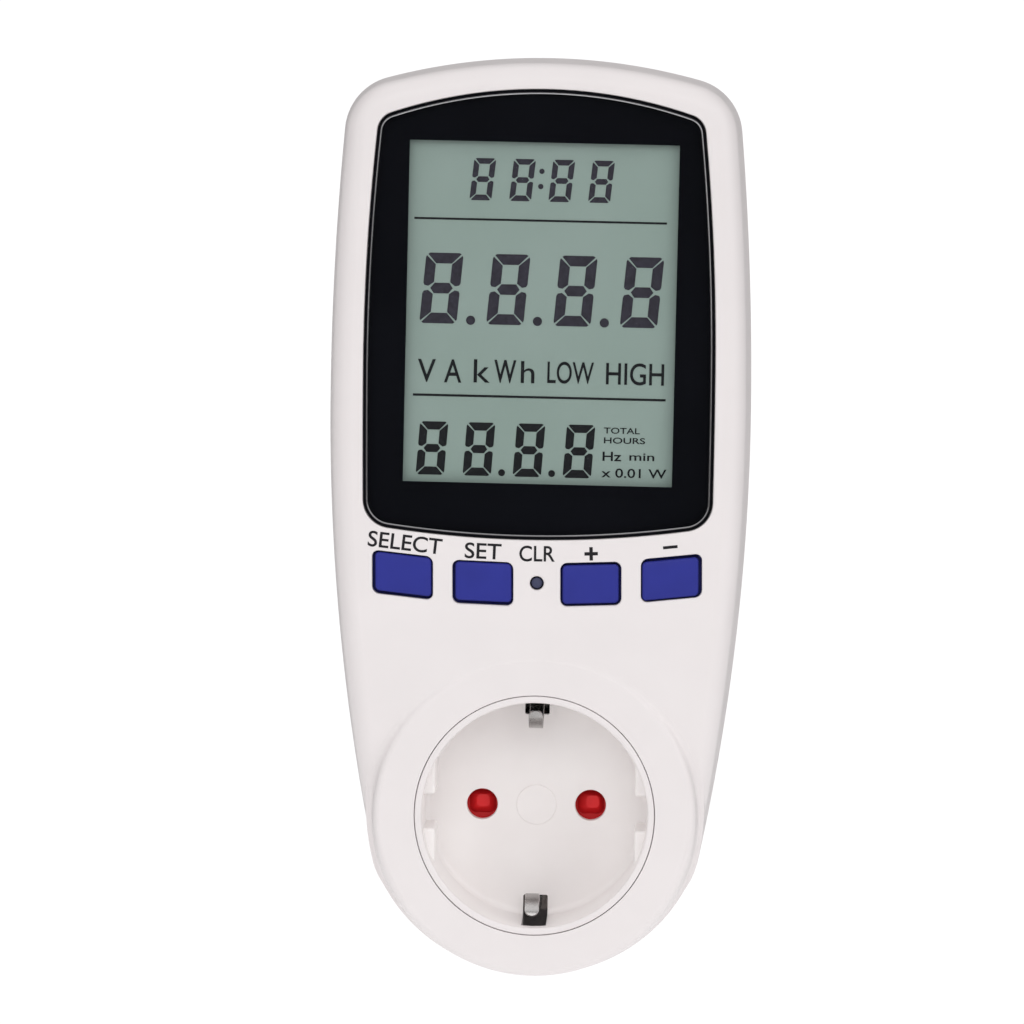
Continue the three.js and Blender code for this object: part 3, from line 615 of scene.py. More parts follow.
LOOKS["board"] = board_look()
LOOKS["insert"] = insert_look()
CELL_FACE = cell_look()
CLEAR = clear_look()
EDGE = metal("window_edge", srgb(150, 150, 152), 0.18, stretch=(1, 1, 1), depth=0.001, tarnish=0.3,
             blotch=12)
PRINT = ink("print_black", srgb(28, 26, 30))
SEGMENT = ink("segment_grey", srgb(54, 52, 62))
SEGMENT_DARK = ink("segment_dark", srgb(22, 24, 28))
LABEL = plastic("rating_label", srgb(205, 206, 208), 0.35, vary=0.03, grain=0.3, depth=0.003)

# ---- front cover ----


def lerp_outline(low, high, share):
    return [(a[0] + (b[0] - a[0]) * s, a[1] + (b[1] - a[1]) * s) for a, b, s in zip(low, high, share)]


def grid_inside(ring, spacing, top):
    """Points of a grid inside a ring, below the height top and clear of its edge."""
    xs = [p[0] for p in ring]
    ys = [p[1] for p in ring]
    points = []
    y = min(ys) + spacing / 2
    while y < min(top, max(ys)):
        crossing = []
        for (x0, y0), (x1, y1) in zip(ring, ring[1:] + ring[:1]):
            if (y0 > y) != (y1 > y):
                crossing.append(x0 + (y - y0) * (x1 - x0) / (y1 - y0))
        crossing.sort()
        for left, right in zip(crossing[::2], crossing[1::2]):
            count = max(int((right - left - spacing) / spacing), 0)
            points += [(left + (right - left) * (i + 1) / (count + 1), y) for i in range(count)]
        y += spacing
    return points


def front_body():
    """Drafted walls, a rounded edge and the front face that falls away below the socket's middle."""
    far_inset, draft = 4.6, 1.0
    base, far = housing_outline(0), housing_outline(far_inset)
    back = PARTING + SEAM
    share, edges = [], []
    for p, q in zip(base, far):
        edge = 2.0 + 1.6 * smooth((p[1] + 18) / 30)
        wall_top = front_height((p[1] + q[1]) / 2) - edge
        share.append(draft * (wall_top - back) / (FRONT - edge - back))
        edges.append(edge)
    cap = lerp_outline(base, far, [(s + e) / far_inset for s, e in zip(share, edges)])
    shape = Shape()
    foot = lerp_outline(base, far, [SEAM / far_inset] * len(base))
    rings = [shape.ring([(x, y, back) for x, y in foot])]
    rings.append(shape.ring([(x, y, back + SEAM) for x, y in base]))
    for up, away in quarter(8):
        flat = lerp_outline(base, far, [(s + e * away) / far_inset for s, e in zip(share, edges)])
        rings.append(shape.ring([
            (x, y, front_height(c[1]) - e * (1 - up)) for (x, y), c, e in zip(flat, cap, edges)
        ]))
    for a, b in zip(rings, rings[1:]):
        shape.bridge(a, b)
    shape.fill(rings[0])
    shape.cap(rings[-1], lambda x, y: front_height(y), grid_inside(cap, 2.2, 40))
    return to_object("front_body", shape)


def surface_probe(obj, sign):
    """Height of obj's outer face, towards the user (sign 1) or away (sign -1), at x and y in mm."""
    mesh = obj.data
    tree = BVHTree.FromPolygons([v.co for v in mesh.vertices], [p.vertices for p in mesh.polygons])
    reach = 90  # well outside the housing

    def height(x, y):
        hit = tree.ray_cast(Vector((x, -sign * reach, y)), Vector((0, sign, 0)), 2 * reach)[0]
        return None if hit is None else -hit.y

    return height


def boss_solid(probe, face, foot, sign, wall_r, draft, convex, concave):
    """Round boss whose wall runs into the face around it with a soft hollow, seen from one side.

    face is the boss's own face and foot the depth it reaches; sign is 1 towards the user.
    """
    sides = 160
    rings = [[] for _ in range(21)]
    for i in range(sides):
        turn = 2 * PI * i / sides
        c, s = math.cos(turn), math.sin(turn)

        def level(radius):
            found = probe(radius * c, radius * s)
            return None if found is None else sign * found

        # the largest hollow whose foot still lands on the face around the wall
        top = sign * face
        low_share, high_share = 0.12, 1.0
        for _ in range(9):
            middle = (low_share + high_share) / 2
            near, far = level(wall_r + 0.15), level(wall_r + concave * middle)
            if near is None or far is None or abs(near - far) > 0.4:
                high_share = middle
            else:
                low_share = middle
        hollow = concave * low_share
        near, far = level(wall_r + 0.15), level(wall_r + hollow)
        flat_r, reach, low = wall_r - convex, convex + hollow, sign * foot
        open_edge = near is None or far is None
        step = reach if open_edge else max(top - far, 0.012)
        bend = math.acos(max(1 - step / reach, 0)) if step < reach else PI / 2
        turns = [bend * k / 8 for k in range(8)]
        profile = [(flat_r + convex * math.sin(t), top - convex * (1 - math.cos(t))) for t in turns]
        if open_edge:
            for k in range(10):
                z = top - convex + (low + 0.3 - top + convex) * k / 9
                profile.append((wall_r + draft * (top - convex - z), z))
            profile.append((profile[-1][0], low + 0.15))
        else:
            centre = flat_r + reach * math.sin(bend) + draft * max(step - convex - hollow, 0)
            for k in range(10):
                t = bend * (1 - k / 9)
                profile.append((centre - hollow * math.sin(t), top - step + hollow * (1 - math.cos(t))))
            profile.append((centre + 0.35, top - step - 0.1))
        profile.append((profile[-1][0], low))
        inner = flat_r - 3
        rings[0].append((inner * c, inner * s, face))
        for k, (radius, z) in enumerate(profile):
            rings[k + 1].append((radius * c, radius * s, sign * z))
    return loft(rings)


def front_limit(inset):
    """Inside of the front cover: walls and front face one wall thickness in."""
    base, far = housing_outline(WALL), housing_outline(WALL + 2.4)
    shape = Shape()
    low = shape.ring([(x, y, PARTING - 2) for x, y in base])
    high = shape.ring([(x, y, front_height(y) - inset) for x, y in far])
    shape.bridge(low, high)
    shape.fill(low)
    shape.cap(high, lambda x, y: front_height(y) - inset, grid_inside(far, 4, 40))
    return shape


def key_ring(name, grow, offset=False):
    x, y, tilt, dx, dy = KEYS[name]
    corner = max(KEY_CORNER + grow, 0.3)
    if offset:
        x, y = x + dx, y + dy
    slope = math.tan(math.radians(tilt))
    upright = round_rect(0, 0, KEY_W + 2 * grow, KEY_H + 2 * grow, corner)
    return [(x + u - KEY_LEAN * v, y + slope * u + v) for u, v in upright]


def build_front_cover():
    body = front_body()
    probe = surface_probe(body, 1)
    back = PARTING + SEAM
    boss = to_object("boss", boss_solid(probe, RIM, PARTING + 1, 1, BOSS_FRONT_R, 0.12, 1.3, 1.4))
    boss = keep(boss, prism(housing_outline(DRAFT_INSET), PARTING, RIM + 1))
    hollow = turned(0, 0, [(LOW_R - WALL - 0.4, back - 2), (BOSS_FRONT_R - WALL - 0.4, RIM - WALL)])
    body = cut(join(body, boss), front_limit(WALL), hollow)
    sleeve = cut(
        to_object("sleeve", rod(0, 0, 22.3, SOCKET_FLOOR + 1, RIM - WALL + 0.2, 96)),
        box_shape(-4, -30, 30, 4, 30, RIM - WALL - 0.1),
    )
    posts = [rod(x, y, 3, PARTING + 3, FRONT - WALL + 0.2, 32) for x, y in CASE_SCREWS]
    posts += [rod(x, y, 1.9, 48.5, FRONT - WALL + 0.2, 32) for x, y in BOARD_SCREWS]
    body = join(body, sleeve, *posts)
    body = cut(
        body,
        flared(lambda g: circle(0, 0, COVER_HOLE_R + g, 192), 30, RIM, 0.14),
        flared(lambda g: lens_outline(-g), LENS_BACK - 0.3, FRONT, 0.3),
    )
    body = join(body, prism(lens_outline(-0.6), 53.0, LENS_BACK - 0.3))
    tools = [box_shape(-25.6, 53.4, 50, 25.6, 119.4, FRONT)]
    tools += [flared(lambda g, n=name: key_ring(n, 0.4 + g), 50, FRONT, 0.22) for name in KEYS]
    tools.append(flared(lambda g: circle(0, RESET_Y, 1.2 + g, 48), 50, FRONT, 0.34))
    tools += [rod(x, y, 1.2, PARTING, FRONT - 5, 24) for x, y in CASE_SCREWS]
    tools += [rod(x, y, 0.95, 48, FRONT - 4, 24) for x, y in BOARD_SCREWS]
    return cut(body, *tools)


piece(build_front_cover(), "front_cover_shell", LOOKS["housing"], "housing", stands_for=["front_cover"])

# ---- rear cover ----
LABEL_Y = 84


def rear_pan():
    """Back of the housing behind the display: drafted walls, a broad rounded edge and a flat back."""
    edge, draft, front = 3.0, 1.5, PARTING - SEAM
    levels = [(housing_outline(SEAM), front), (housing_outline(0), front - SEAM)]
    for up, away in quarter(8):
        levels.append((housing_outline(draft + edge * away), PAN_BACK + edge * (1 - up)))
    return to_object("rear_pan", stack(levels))


def ramp(inset, low_y, high_y):
    """Hump that eases from the round plug boss up to the flat back."""
    sections = []
    for i in range(25):
        y = low_y + (high_y - low_y) * i / 24
        depth = BACK_FACE + 1.3 + (PAN_BACK + 0.4 - BACK_FACE - 1.3) * smooth((y - 19) / 33) + inset
        half, edge = 20 - inset, 3.0
        side = arc((half - edge, depth + edge), edge, 0, -PI / 2, 8)
        right = [(half + 0.6, 36)] + side + [(half - edge, depth)]
        outline = right + [(-x, z) for x, z in reversed(right)]
        sections.append([(x, y, z) for x, z in outline])
    return loft(sections)


def screw_well(x, y):
    profile = [(3.2, PAN_BACK - 2), (2.75, PAN_BACK), (2.5, PAN_BACK + 0.3), (2.5, PAN_BACK + 7)]
    return turned(x, y, profile, 40)


def build_rear_cover():
    front = PARTING - SEAM
    body = rear_pan()
    probe = surface_probe(body, -1)
    boss = to_object("boss", boss_solid(probe, BACK_FACE, front - 0.6, -1, BOSS_BACK_R, 0.13, 2.4, 2.2))
    boss = keep(boss, prism(housing_outline(DRAFT_INSET), BACK_FACE - 1, front))
    body = join(body, boss, ramp(0, 0, 53))
    pan_inner = stack([(housing_outline(4.8), PAN_BACK + WALL), (housing_outline(WALL), front + 1)])
    boss_inner = turned(0, 0, [(BOSS_BACK_R - WALL, BACK_FACE + WALL), (LOW_R - 0.1 - WALL, front + 1)])
    body = cut(body, pan_inner, boss_inner, ramp(WALL, 0, 46))
    posts = []
    for x, y in CASE_SCREWS:
        post = to_object("post", rod(x, y, 3.6, PAN_BACK + 1, PARTING + 2.5, 32))
        posts.append(keep(post, prism(housing_outline(3.1), PAN_BACK, PARTING + 3)))
    lip = cut(
        to_object("lip", stack([(housing_outline(2.6), front - 3), (housing_outline(2.85), front + 1.5)])),
        stack([(housing_outline(3.7), front - 4), (housing_outline(3.9), front + 2)]),
    )
    root = cut(
        to_object("root", prism(housing_outline(1.9), front - 3, front - 1)),
        prism(housing_outline(3.7), front - 4, front),
    )
    body = join(body, lip, root, *posts)
    tools = [screw_well(x, y) for x, y in CASE_SCREWS]
    tools += [rod(x, y, 1.4, PAN_BACK, PARTING + 4, 24) for x, y in CASE_SCREWS]
    plug_hole = [(19.3, BACK_FACE - 1), (18.9, BACK_FACE + 0.25), (18.9, BACK_FACE + WALL + 1)]
    tools.append(turned(0, 0, plug_hole, 96))
    tools.append(prism(round_rect(0, LABEL_Y, 46, 44, 2.5), PAN_BACK - 1, PAN_BACK + 0.35))
    return cut(body, *tools)


piece(build_rear_cover(), "rear_cover_shell", LOOKS["housing"], "housing", stands_for=["rear_cover"])
label = prism(round_rect(0, LABEL_Y, 45.2, 43.2, 2.2), PAN_BACK + 0.12, PAN_BACK + 0.3)
piece(bevelled(label, 0.05), "blank_label", LABEL, "film")

# ---- display ----
SKEW = -0.68  # degrees: the display sits very slightly turned in the housing
CENTRE = (0.2, 86.55)
SEEN_W, SEEN_H = 46.35, 58.7


def on_display(u, v):
    """From places on the display, measured from its middle, to the meter's x and y."""
    c, s = unit(SKEW)
    return CENTRE[0] + c * u - s * v, CENTRE[1] + s * u + c * v


def window():
    """The window: a clear pane with a polished edge and a black border printed on its back."""
    shape = Shape()
    levels = [(0.1, LENS_BACK), (0.1, 55.1), (0.16, 55.2), (0.52, 55.42), (0.58, 55.48), (0.64, 55.53),
              (0.71, 55.57), (0.78, 55.592), (0.86, LENS_FRONT)]
    bright = 5  # the rings from here to the last are the polished edge
    top = levels[-1][1]
    rings = [shape.ring([(x, y, z) for x, y in lens_outline(inset)]) for inset, z in levels]
    first_bright = 0
    for i, (a, b) in enumerate(zip(rings, rings[1:])):
        if i == bright - 1:
            first_bright = len(shape.faces)
        shape.bridge(a, b)
    last_bright = len(shape.faces)
    half_w, half_h = SEEN_W / 2, SEEN_H / 2
    corners = ((-1, -1), (1, -1), (1, 1), (-1, 1))
    clear = [on_display(sx * half_w, sy * half_h) for sx, sy in corners]
    shape.cap(rings[0], lambda x, y: LENS_BACK, loops=[clear])
    shape.cap(rings[-1], lambda x, y: top, loops=[clear])
    obj = to_object("display_window_pane", shape)
    c, s = unit(-SKEW)
    for material in (LOOKS["window"], CLEAR, EDGE):
        obj.data.materials.append(material)
    for polygon in obj.data.polygons:
        if first_bright <= polygon.index < last_bright:
            polygon.material_index = 2
            continue
        x, y = polygon.center.x - CENTRE[0], polygon.center.z - CENTRE[1]
        u, v = c * x - s * y, s * x + c * y
        printed = abs(u) > half_w or abs(v) > half_h
        if polygon.normal.y < -0.9 or (polygon.normal.y > 0.9 and not printed):
            polygon.material_index = 1
    return obj


piece(window(), "display_window_pane", [LOOKS["window"], CLEAR, EDGE], "window",
      stands_for=["display_window"], sharp=60)
cell = join(
    bevelled(box_shape(-25, 54.3, 50.5, 25, 118, 51.75), 0.08),
    bevelled(box_shape(-25, 56.1, 51.65, 25, 116.4, 53), 0.08),
)
piece(cell, "lcd_cell_glass", CELL_FACE, "cell", stands_for=["lcd_cell"])

INK_BACK, INK_FRONT = 52.96, 53.04
SEGMENT_GAP = 0.13


def marks(name, outlines, material):
    """Flat marks that stand a hair proud of the display."""
    shape = Shape()
    for outline in outlines:
        shape.loft([[(*on_display(u, v), z) for u, v in outline] for z in (INK_BACK, INK_FRONT)])
    piece(shape, name, material, "cell", weighted=False)


def digit(left, low, width, height, thick, lean):
    """The seven segments of one figure eight, leaning over."""
    w, h, t, g = width, height, thick, SEGMENT_GAP
    mid = h / 2
    top = [(0.3 * t + g, h), (w - 0.3 * t - g, h), (w - 0.12 * t - g, h - 0.12 * t),
           (w - t - 0.3 * g, h - t), (t + 0.3 * g, h - t), (0.12 * t + g, h - 0.12 * t)]
    upper = [(0, h - 0.35 * t - g), (0.08 * t, h - 0.18 * t - g), (t, h - t - 1.3 * g),
             (t, mid + 0.5 * t + 0.9 * g), (0.5 * t, mid + 0.12 * t + g), (0.12 * t, mid + 0.2 * t + g),
             (0, mid + 0.42 * t + g)]
    bar = [(0.62 * t + g, mid), (t + g, mid + t / 2), (w - t - g, mid + t / 2),
           (w - 0.62 * t - g, mid), (w - t - g, mid - t / 2), (t + g, mid - t / 2)]
    sides = [upper, [(w - x, y) for x, y in upper]]
    parts = [top, bar] + sides + [[(x, h - y) for x, y in part] for part in [top] + sides]
    return [[(left + x + lean * y, low + y) for x, y in part] for part in parts]


def dot(u, v, radius):
    return circle(u, v, radius, 24)


def bar_mark(u0, u1, v, thick):
    return [(u0, v), (u1, v), (u1, v + thick), (u0, v + thick)]


def row(lefts, low, width, height, thick, lean):
    return [part for left in lefts for part in digit(left, low, width, height, thick, lean)]


marks("lcd_row_small", row([-12.8, -5.98, 0.77, 7.6], 19.22, 3.78, 7.25, 0.98, 0.1)
      + [dot(-0.42, 24.42, 0.46), dot(-0.57, 21.81, 0.46)], SEGMENT)
marks("lcd_row_large", row([-20.98, -9.46, 2.1, 13.55], -2.1, 6.42, 12.15, 1.82, 0.083)
      + [dot(-12.13, -1.45, 0.8), dot(-0.61, -1.38, 0.8), dot(10.9, -1.38, 0.8)], SEGMENT)
marks("lcd_row_lower", row([-21.05, -12.95, -4.32, 4.3], -28.22, 4.9, 9.2, 1.4, 0.064)
      + [dot(-6.21, -27.6, 0.6), dot(2.42, -27.55, 0.6)], SEGMENT_DARK)
marks("lcd_rules", [bar_mark(-22.2, 21.28, 15.76, 0.36), bar_mark(-21.8, 21.76, -14.66, 0.4)], SEGMENT_DARK)


def lettering(name, words, material, low, high, slot):
    """Raised flat lettering. Each word is (text, x, y, height, width, tilt, weight), set by its middle."""
    pieces = []
    for text, x, y, height, width, tilt, weight in words:
        curve = bpy.data.curves.new("word", "FONT")
        curve.body = text
        curve.size = 10
        curve.resolution_u = 6
        curve.offset = weight
        curve.extrude = 1.0
        word = add_object("word", curve)
        graph = bpy.context.evaluated_depsgraph_get()
        mesh = bpy.data.meshes.new_from_object(word.evaluated_get(graph))
        bpy.data.objects.remove(word)
        xs = [v.co.x for v in mesh.vertices]
        ys = [v.co.y for v in mesh.vertices]
        c, s = unit(tilt)
        for v in mesh.vertices:
            u = (v.co.x - (min(xs) + max(xs)) / 2) * width / (max(xs) - min(xs))
            w = (v.co.y - (min(ys) + max(ys)) / 2) * height / (max(ys) - min(ys))
            depth = high if v.co.z > 0 else low
            v.co = (x + c * u - s * w, -depth, y + s * u + c * w)
        pieces.append(mesh)
    bm = bmesh.new()
    for mesh in pieces:
        bm.from_mesh(mesh)
        bpy.data.meshes.remove(mesh)
    bmesh.ops.remove_doubles(bm, verts=bm.verts, dist=1e-4)
    bmesh.ops.recalc_face_normals(bm, faces=bm.faces)
    mesh = bpy.data.meshes.new(name)
    bm.to_mesh(mesh)
    bm.free()
    return finish_piece(add_object(name, mesh), name, material, slot, weighted=False)


def display_words(name, words, material):
    placed = [(text, *on_display(u, v), *size, SKEW, weight) for text, u, v, *size, weight in words]
    lettering(name, placed, material, INK_BACK, INK_FRONT, "cell")


display_words("lcd_units", [
    ("V", -19.5, -10.29, 4.0, 3.1, 0.07), ("A", -15.0, -10.25, 4.0, 3.0, 0.07),
    ("k", -10.0, -10.14, 4.0, 2.8, 0.02), ("W", -5.98, -10.15, 4.0, 3.8, 0.14),
    ("h", -2.1, -10.16, 3.8, 2.35, 0.02),
    ("LOW", 5.3, -10.1, 3.8, 8.0, 0.07), ("HIGH", 16.4, -10.1, 3.8, 10.0, 0.07),
], SEGMENT_DARK)
display_words("lcd_small_units", [
    ("TOTAL", 14.35, -19.9, 1.05, 6.2, 0.12), ("HOURS", 14.85, -21.6, 1.05, 7.1, 0.12),
    ("Hz", 12.75, -24.35, 1.6, 3.25, 0.14), ("min", 17.9, -24.35, 1.3, 4.3, 0.1),
    ("x 0.01 W", 16.6, -27.2, 1.6, 11.2, 0.12),
], SEGMENT_DARK)

# ---- keys and their labels ----


def build_key(name):
    x, y, tilt, *_ = KEYS[name]
    edge = 0.42
    levels = [(key_ring(name, 0, True), 52.9), (key_ring(name, 0, True), KEY_TOP - edge)]
    for up, away in quarter(6)[1:]:
        levels.append((key_ring(name, -edge * away, True), KEY_TOP - edge * (1 - up)))
    levels.append((key_ring(name, -1.3, True), KEY_TOP + 0.05))
    flange = prism(round_rect(x, y, KEY_W + 1.9, KEY_H + 1.9, 1.4, tilt), 52.2, 53)
    body = join(to_object("key", stack(levels)), flange, rounded_rod(x, y, 2.4, 50.6, 52.4, 0.2))
    piece(body, f"key_{name}_cap", LOOKS["keys"], "keys", body=f"{name}_key", stands_for=[f"key_{name}"])


for key in KEYS:
    build_key(key)

nub = [(0.95, 52.3), (0.95, 54.95), (0.88, 55.12), (0.7, 55.2), (0.35, 55.24)]
reset = join(
    to_object("reset", turned(0, RESET_Y, nub)),
    rounded_rod(0, RESET_Y, 2, 51.5, 52.4, 0.15),
    rounded_rod(0, RESET_Y, 1.4, 50.6, 51.7, 0.1),
)
piece(reset, "key_reset_nub", plastic("reset_key", srgb(58, 62, 92), 0.5, grain=0.3, depth=0.01), "keys",
      body="reset_key", stands_for=["key_reset"])

LABEL_H = 2.75
LABELS = [
    ("SELECT", -22.75, 46.95, LABEL_H, 12.8, -6.1, 0.1),
    ("SET", -9.3, 45.65, LABEL_H, 6.3, -2.0, 0.1),
    ("CLR", 0.0, 45.3, LABEL_H, 6.1, 0.0, 0.1),
    ("+", 9.3, 45.4, 2.3, 2.3, 2.0, 0.25),
    ("−", 22.9, 46.7, 0.5, 2.5, 6.1, 0.2),
]
lettering("key_labels", LABELS, PRINT, FRONT - 0.05, FRONT + 0.03, "housing")

# ---- socket ----
FLAT_X, RIB_TOP, CHANNEL = 17.3, 51.5, 2.95
SLOT_HALF, SLOT_IN, SLOT_OUT, SLOT_TOP = 2.15, 15.9, 20.9, 53.6


def recess():
    """The round recess as a cutter: rounded mouth, straight wall and a soft inner corner at the floor."""
    inner, edge = 1.2, 0.42
    profile = [(RECESS_R - inner + inner * out, SOCKET_FLOOR + inner * up) for out, up in quarter(5)]
    profile += [(RECESS_R + edge * away, RIM - edge * (1 - up)) for up, away in quarter(5)]
    profile.append((RECESS_R + edge, RIM + 1))
    return to_object("recess", turned(0, 0, profile, 192))


def build_socket():
    edge = 0.3
    profile = [(INSERT_R, SOCKET_BACK)]
    profile += [(INSERT_R - edge * away, RIM - edge * (1 - up)) for up, away in quarter(5)]
    flange = [(23.2, SOCKET_BACK), (23.4, SOCKET_BACK + 0.2), (23.4, 39.4), (23.2, 39.6)]
    body = to_object("socket", turned(0, 0, profile, 192))
    body = join(body, turned(0, 0, flange, 96))
    ribs = [bevelled(box_shape(sx * FLAT_X, sy * CHANNEL, 36, sx * 22, sy * 20, RIB_TOP), 0.55, 4)
            for sx in (-1, 1) for sy in (-1, 1)]
    hollow = cut(recess(), *ribs)
    disc = rounded_rod(0, 0, 3.5, SOCKET_FLOOR - 1, SOCKET_FLOOR + 0.24, 0.14, 64)
    post = rod(0, 0, 1.6, 33.2, SOCKET_BACK + 0.2, 32)
    body = join(cut(body, hollow), disc, post)
    tools = []
    for side in (-1, 1):
        x, back = side * PIN_X, SOCKET_BACK - 1
        tools.append(flared(lambda g, x=x: circle(x, 0, PIN_HOLE_R + g, 64), back, SOCKET_FLOOR, 0.22))
        middle, length = side * (SLOT_IN + SLOT_OUT) / 2, SLOT_OUT - SLOT_IN
        slot = round_rect(0, middle, 2 * SLOT_HALF, length, 0.3, 0, 4)
        tools.append(prism(slot, back, SLOT_TOP))
        tools.append(box_shape(-SLOT_HALF, side * 20.5, back, SLOT_HALF, side * 24, 41))
    return cut(body, *tools)


piece(build_socket(), "socket_face", LOOKS["insert"], "insert", stands_for=["socket_insert"], sharp=36)


def build_shutter():
    """Two lobes with sloped pads that the pins push, on a bar that turns on the middle post."""
    low, shelf, high = 34.2, 35.5, 36.4
    lobes = [rounded_rod(s * PIN_X, 0, 3.9, low, shelf, 0.3) for s in (-1, 1)]
    bar = bevelled(box_shape(-PIN_X, -2.6, low, PIN_X, 2.6, shelf), 0.25)
    tab = bevelled(box_shape(-1.2, 0, low, 1.2, 9.4, low + 1.2), 0.15)
    pads = []
    for x, lean in ((-PIN_X, 0.1), (PIN_X, 0.35)):
        pads.append(bevelled(stack([
            (round_rect(x, 0.15, 4.7, 4.1, 1.2), shelf - 0.3),
            (round_rect(x, 0.15, 4.7, 4.1, 1.2), shelf),
            (round_rect(x + lean, 0.35, 2.2, 2.1, 0.7), high),
        ]), 0.3, 4, 20))
    body = join(bar, tab, *lobes, *pads)
    return cut(body, rod(0, 0, 1.65, 30, 40, 40))


piece(build_shutter(), "shutter_plate_red", LOOKS["shutter"], "shutter", body="shutter_plate",
      stands_for=["shutter"])


def even_path(points, spacing):
    """A smooth line through points, cut into even steps, with the way it runs at each."""
    curve = []
    for i in range(len(points) - 1):
        p0, p1, p2, p3 = (Vector(points[min(max(i + k, 0), len(points) - 1)]) for k in (-1, 0, 1, 2))
        for j in range(12):
            t = j / 12
            curve.append(0.5 * ((2 * p1) + (p2 - p0) * t + (2 * p0 - 5 * p1 + 4 * p2 - p3) * t ** 2
                                + (3 * p1 - p0 - 3 * p2 + p3) * t ** 3))
    curve.append(Vector(points[-1]))
    kept, travelled = [curve[0]], 0.0
    for a, b in zip(curve, curve[1:]):
        travelled += (b - a).length
        if travelled >= spacing:
            kept.append(b)
            travelled = 0.0
    if (kept[-1] - curve[-1]).length > 1e-4:
        kept.append(curve[-1])
    return kept


def strip(points, half, thick, spacing=0.6, round_end=True, dish=0.0, dish_from=0.0):
    """Sprung strip along a line of (y, z) points, with soft edges and a half-round free end."""
    path = even_path(points, spacing)
    if round_end:
        last, before = path[-1], path[-2]
        run = (last - before).normalized()
        path = [p for p in path if (p - last).length > half * 1.02]
        path += [last - run * half * (1 - s) for s, _ in quarter(9)]
    lengths = [0.0]
    for a, b in zip(path, path[1:]):
        lengths.append(lengths[-1] + (b - a).length)
    total = lengths[-1]
    sections = []
    for i, p in enumerate(path):
        run = (path[min(i + 1, len(path) - 1)] - path[max(i - 1, 0)]).normalized()
        normal = Vector((-run.y, run.x))
        left = total - lengths[i]
        width = half
        if round_end and left < half:
            width = max(math.sqrt(max(half ** 2 - (half - left) ** 2, 0)), 0.05)
        edge = min(0.14, thick / 2.2, width * 0.45)
        depth = dish * smooth((lengths[i] - dish_from) / 2.5) if dish else 0.0
        ring = []
        for x, n in round_rect(0, 0, 2 * width, thick, edge, 0, 3):
            hollow = depth * max(1 - (x / half) ** 2, 0) if abs(x) < half else 0
            across = p + normal * (n - hollow)
            ring.append((x, across.x, across.y))
        sections.append(ring)
    return loft(sections)


CLIP_PATH = [(18.4, 23.3), (18.4, 30), (18.35, 36), (17.6, 41), (15.9, 45), (14.85, 47.7), (14.8, 49.4),
             (15.7, 51.3), (17.75, 53.05)]
for side, name in ((1, "upper"), (-1, "lower")):
    shape = strip(CLIP_PATH, 1.25, 0.5, dish=0.34, dish_from=26.5)
    if side < 0:
        mirror_y(shape)
        shape.points = [(x - 0.35, y, z) for x, y, z in shape.points]
    piece(shape, f"clip_{name}", LOOKS["clip"], "nickel", body=f"{name}_earth",
          stands_for=[f"earth_clip_{name}"])

# ---- plug ----
PLUG_R, PLUG_FLAT = 18.6, 17


def plug_ring(radius, flat):
    """Circle with two side flats, their corners slightly softened."""
    points = []
    for x, y in circle(0, 0, radius, 160):
        reach = flat + 0.12 * math.tanh((abs(x) - flat) / 1.2) if abs(x) > flat else abs(x)
        points.append((math.copysign(min(reach, abs(x)), x), y))
    return points


def build_plug():
    edge = 1.0
    levels = []
    for out, up in quarter(6):
        inset = edge * (1 - out)
        levels.append((plug_ring(PLUG_R - inset, PLUG_FLAT - inset), edge * up))
    levels.append((plug_ring(PLUG_R, PLUG_FLAT), BACK_FACE + WALL + 0.4))
    body = to_object("plug", stack(levels))
    body = join(body, rod(0, 0, 22.2, BACK_FACE + WALL + 0.3, 21.4, 96))
    ring = [(min(max(x, -14.6), 14.6), min(max(y, -13.8), 13.8)) for x, y in circle(0, 0, 16.2, 96)]
    body = cut(body, prism(ring, 3, 22.4))
    collars = [rod(s * PIN_X, 0, 4.1, 2.8, 9, 40) for s in (-1, 1)]
    body = join(body, *collars)
    tools = []
    for side in (-1, 1):
        tools.append(bevelled(box_shape(-2.9, side * 15.6, -1, 2.9, side * 19.6, 23), 0.25, 2))
        x = side * PIN_X
        mouth = [(PIN_HOLE_R + 1.3, -1), (PIN_HOLE_R + 0.35, 0), (PIN_HOLE_R, 0.35), (PIN_HOLE_R, 10)]
        tools.append(turned(x, 0, mouth, 48))
        for k in range(4):
            z = 6.4 + 3.0 * k
            tools.append(bevelled(box_shape(side * 16.85, -6.5, z, side * 20.75, 6.5, z + 1.3), 0.2, 2))
    tools.append(turned(0, 10, [(3.6, -0.8), (3.0, 0), (2.8, 0.25), (2.8, 4)], 48))
    tools.append(turned(0, -1.2, [(3.1, -1), (3.0, 0.25)], 48))
    return cut(body, *tools)


piece(build_plug(), "plug_shell", LOOKS["housing"], "housing", stands_for=["plug_body"])

for x, name in ((-PIN_X, "line"), (PIN_X, "neutral")):
    profile = [(0.5, -19.0)] + [(0.5 + 1.9 * out, -19 + 2.0 * up) for out, up in quarter(7)[1:]]
    profile += [(PIN_R, 9.2), (3.3, 9.3), (3.4, 9.5), (3.4, 10.4), (3.2, 10.5), (1.8, 10.6), (1.8, 16.4),
                (1.5, 16.8)]
    piece(turned(x, 0, profile, 56), f"pin_{name}_post", LOOKS["nickel"], "nickel",
          stands_for=[f"pin_{name}"])

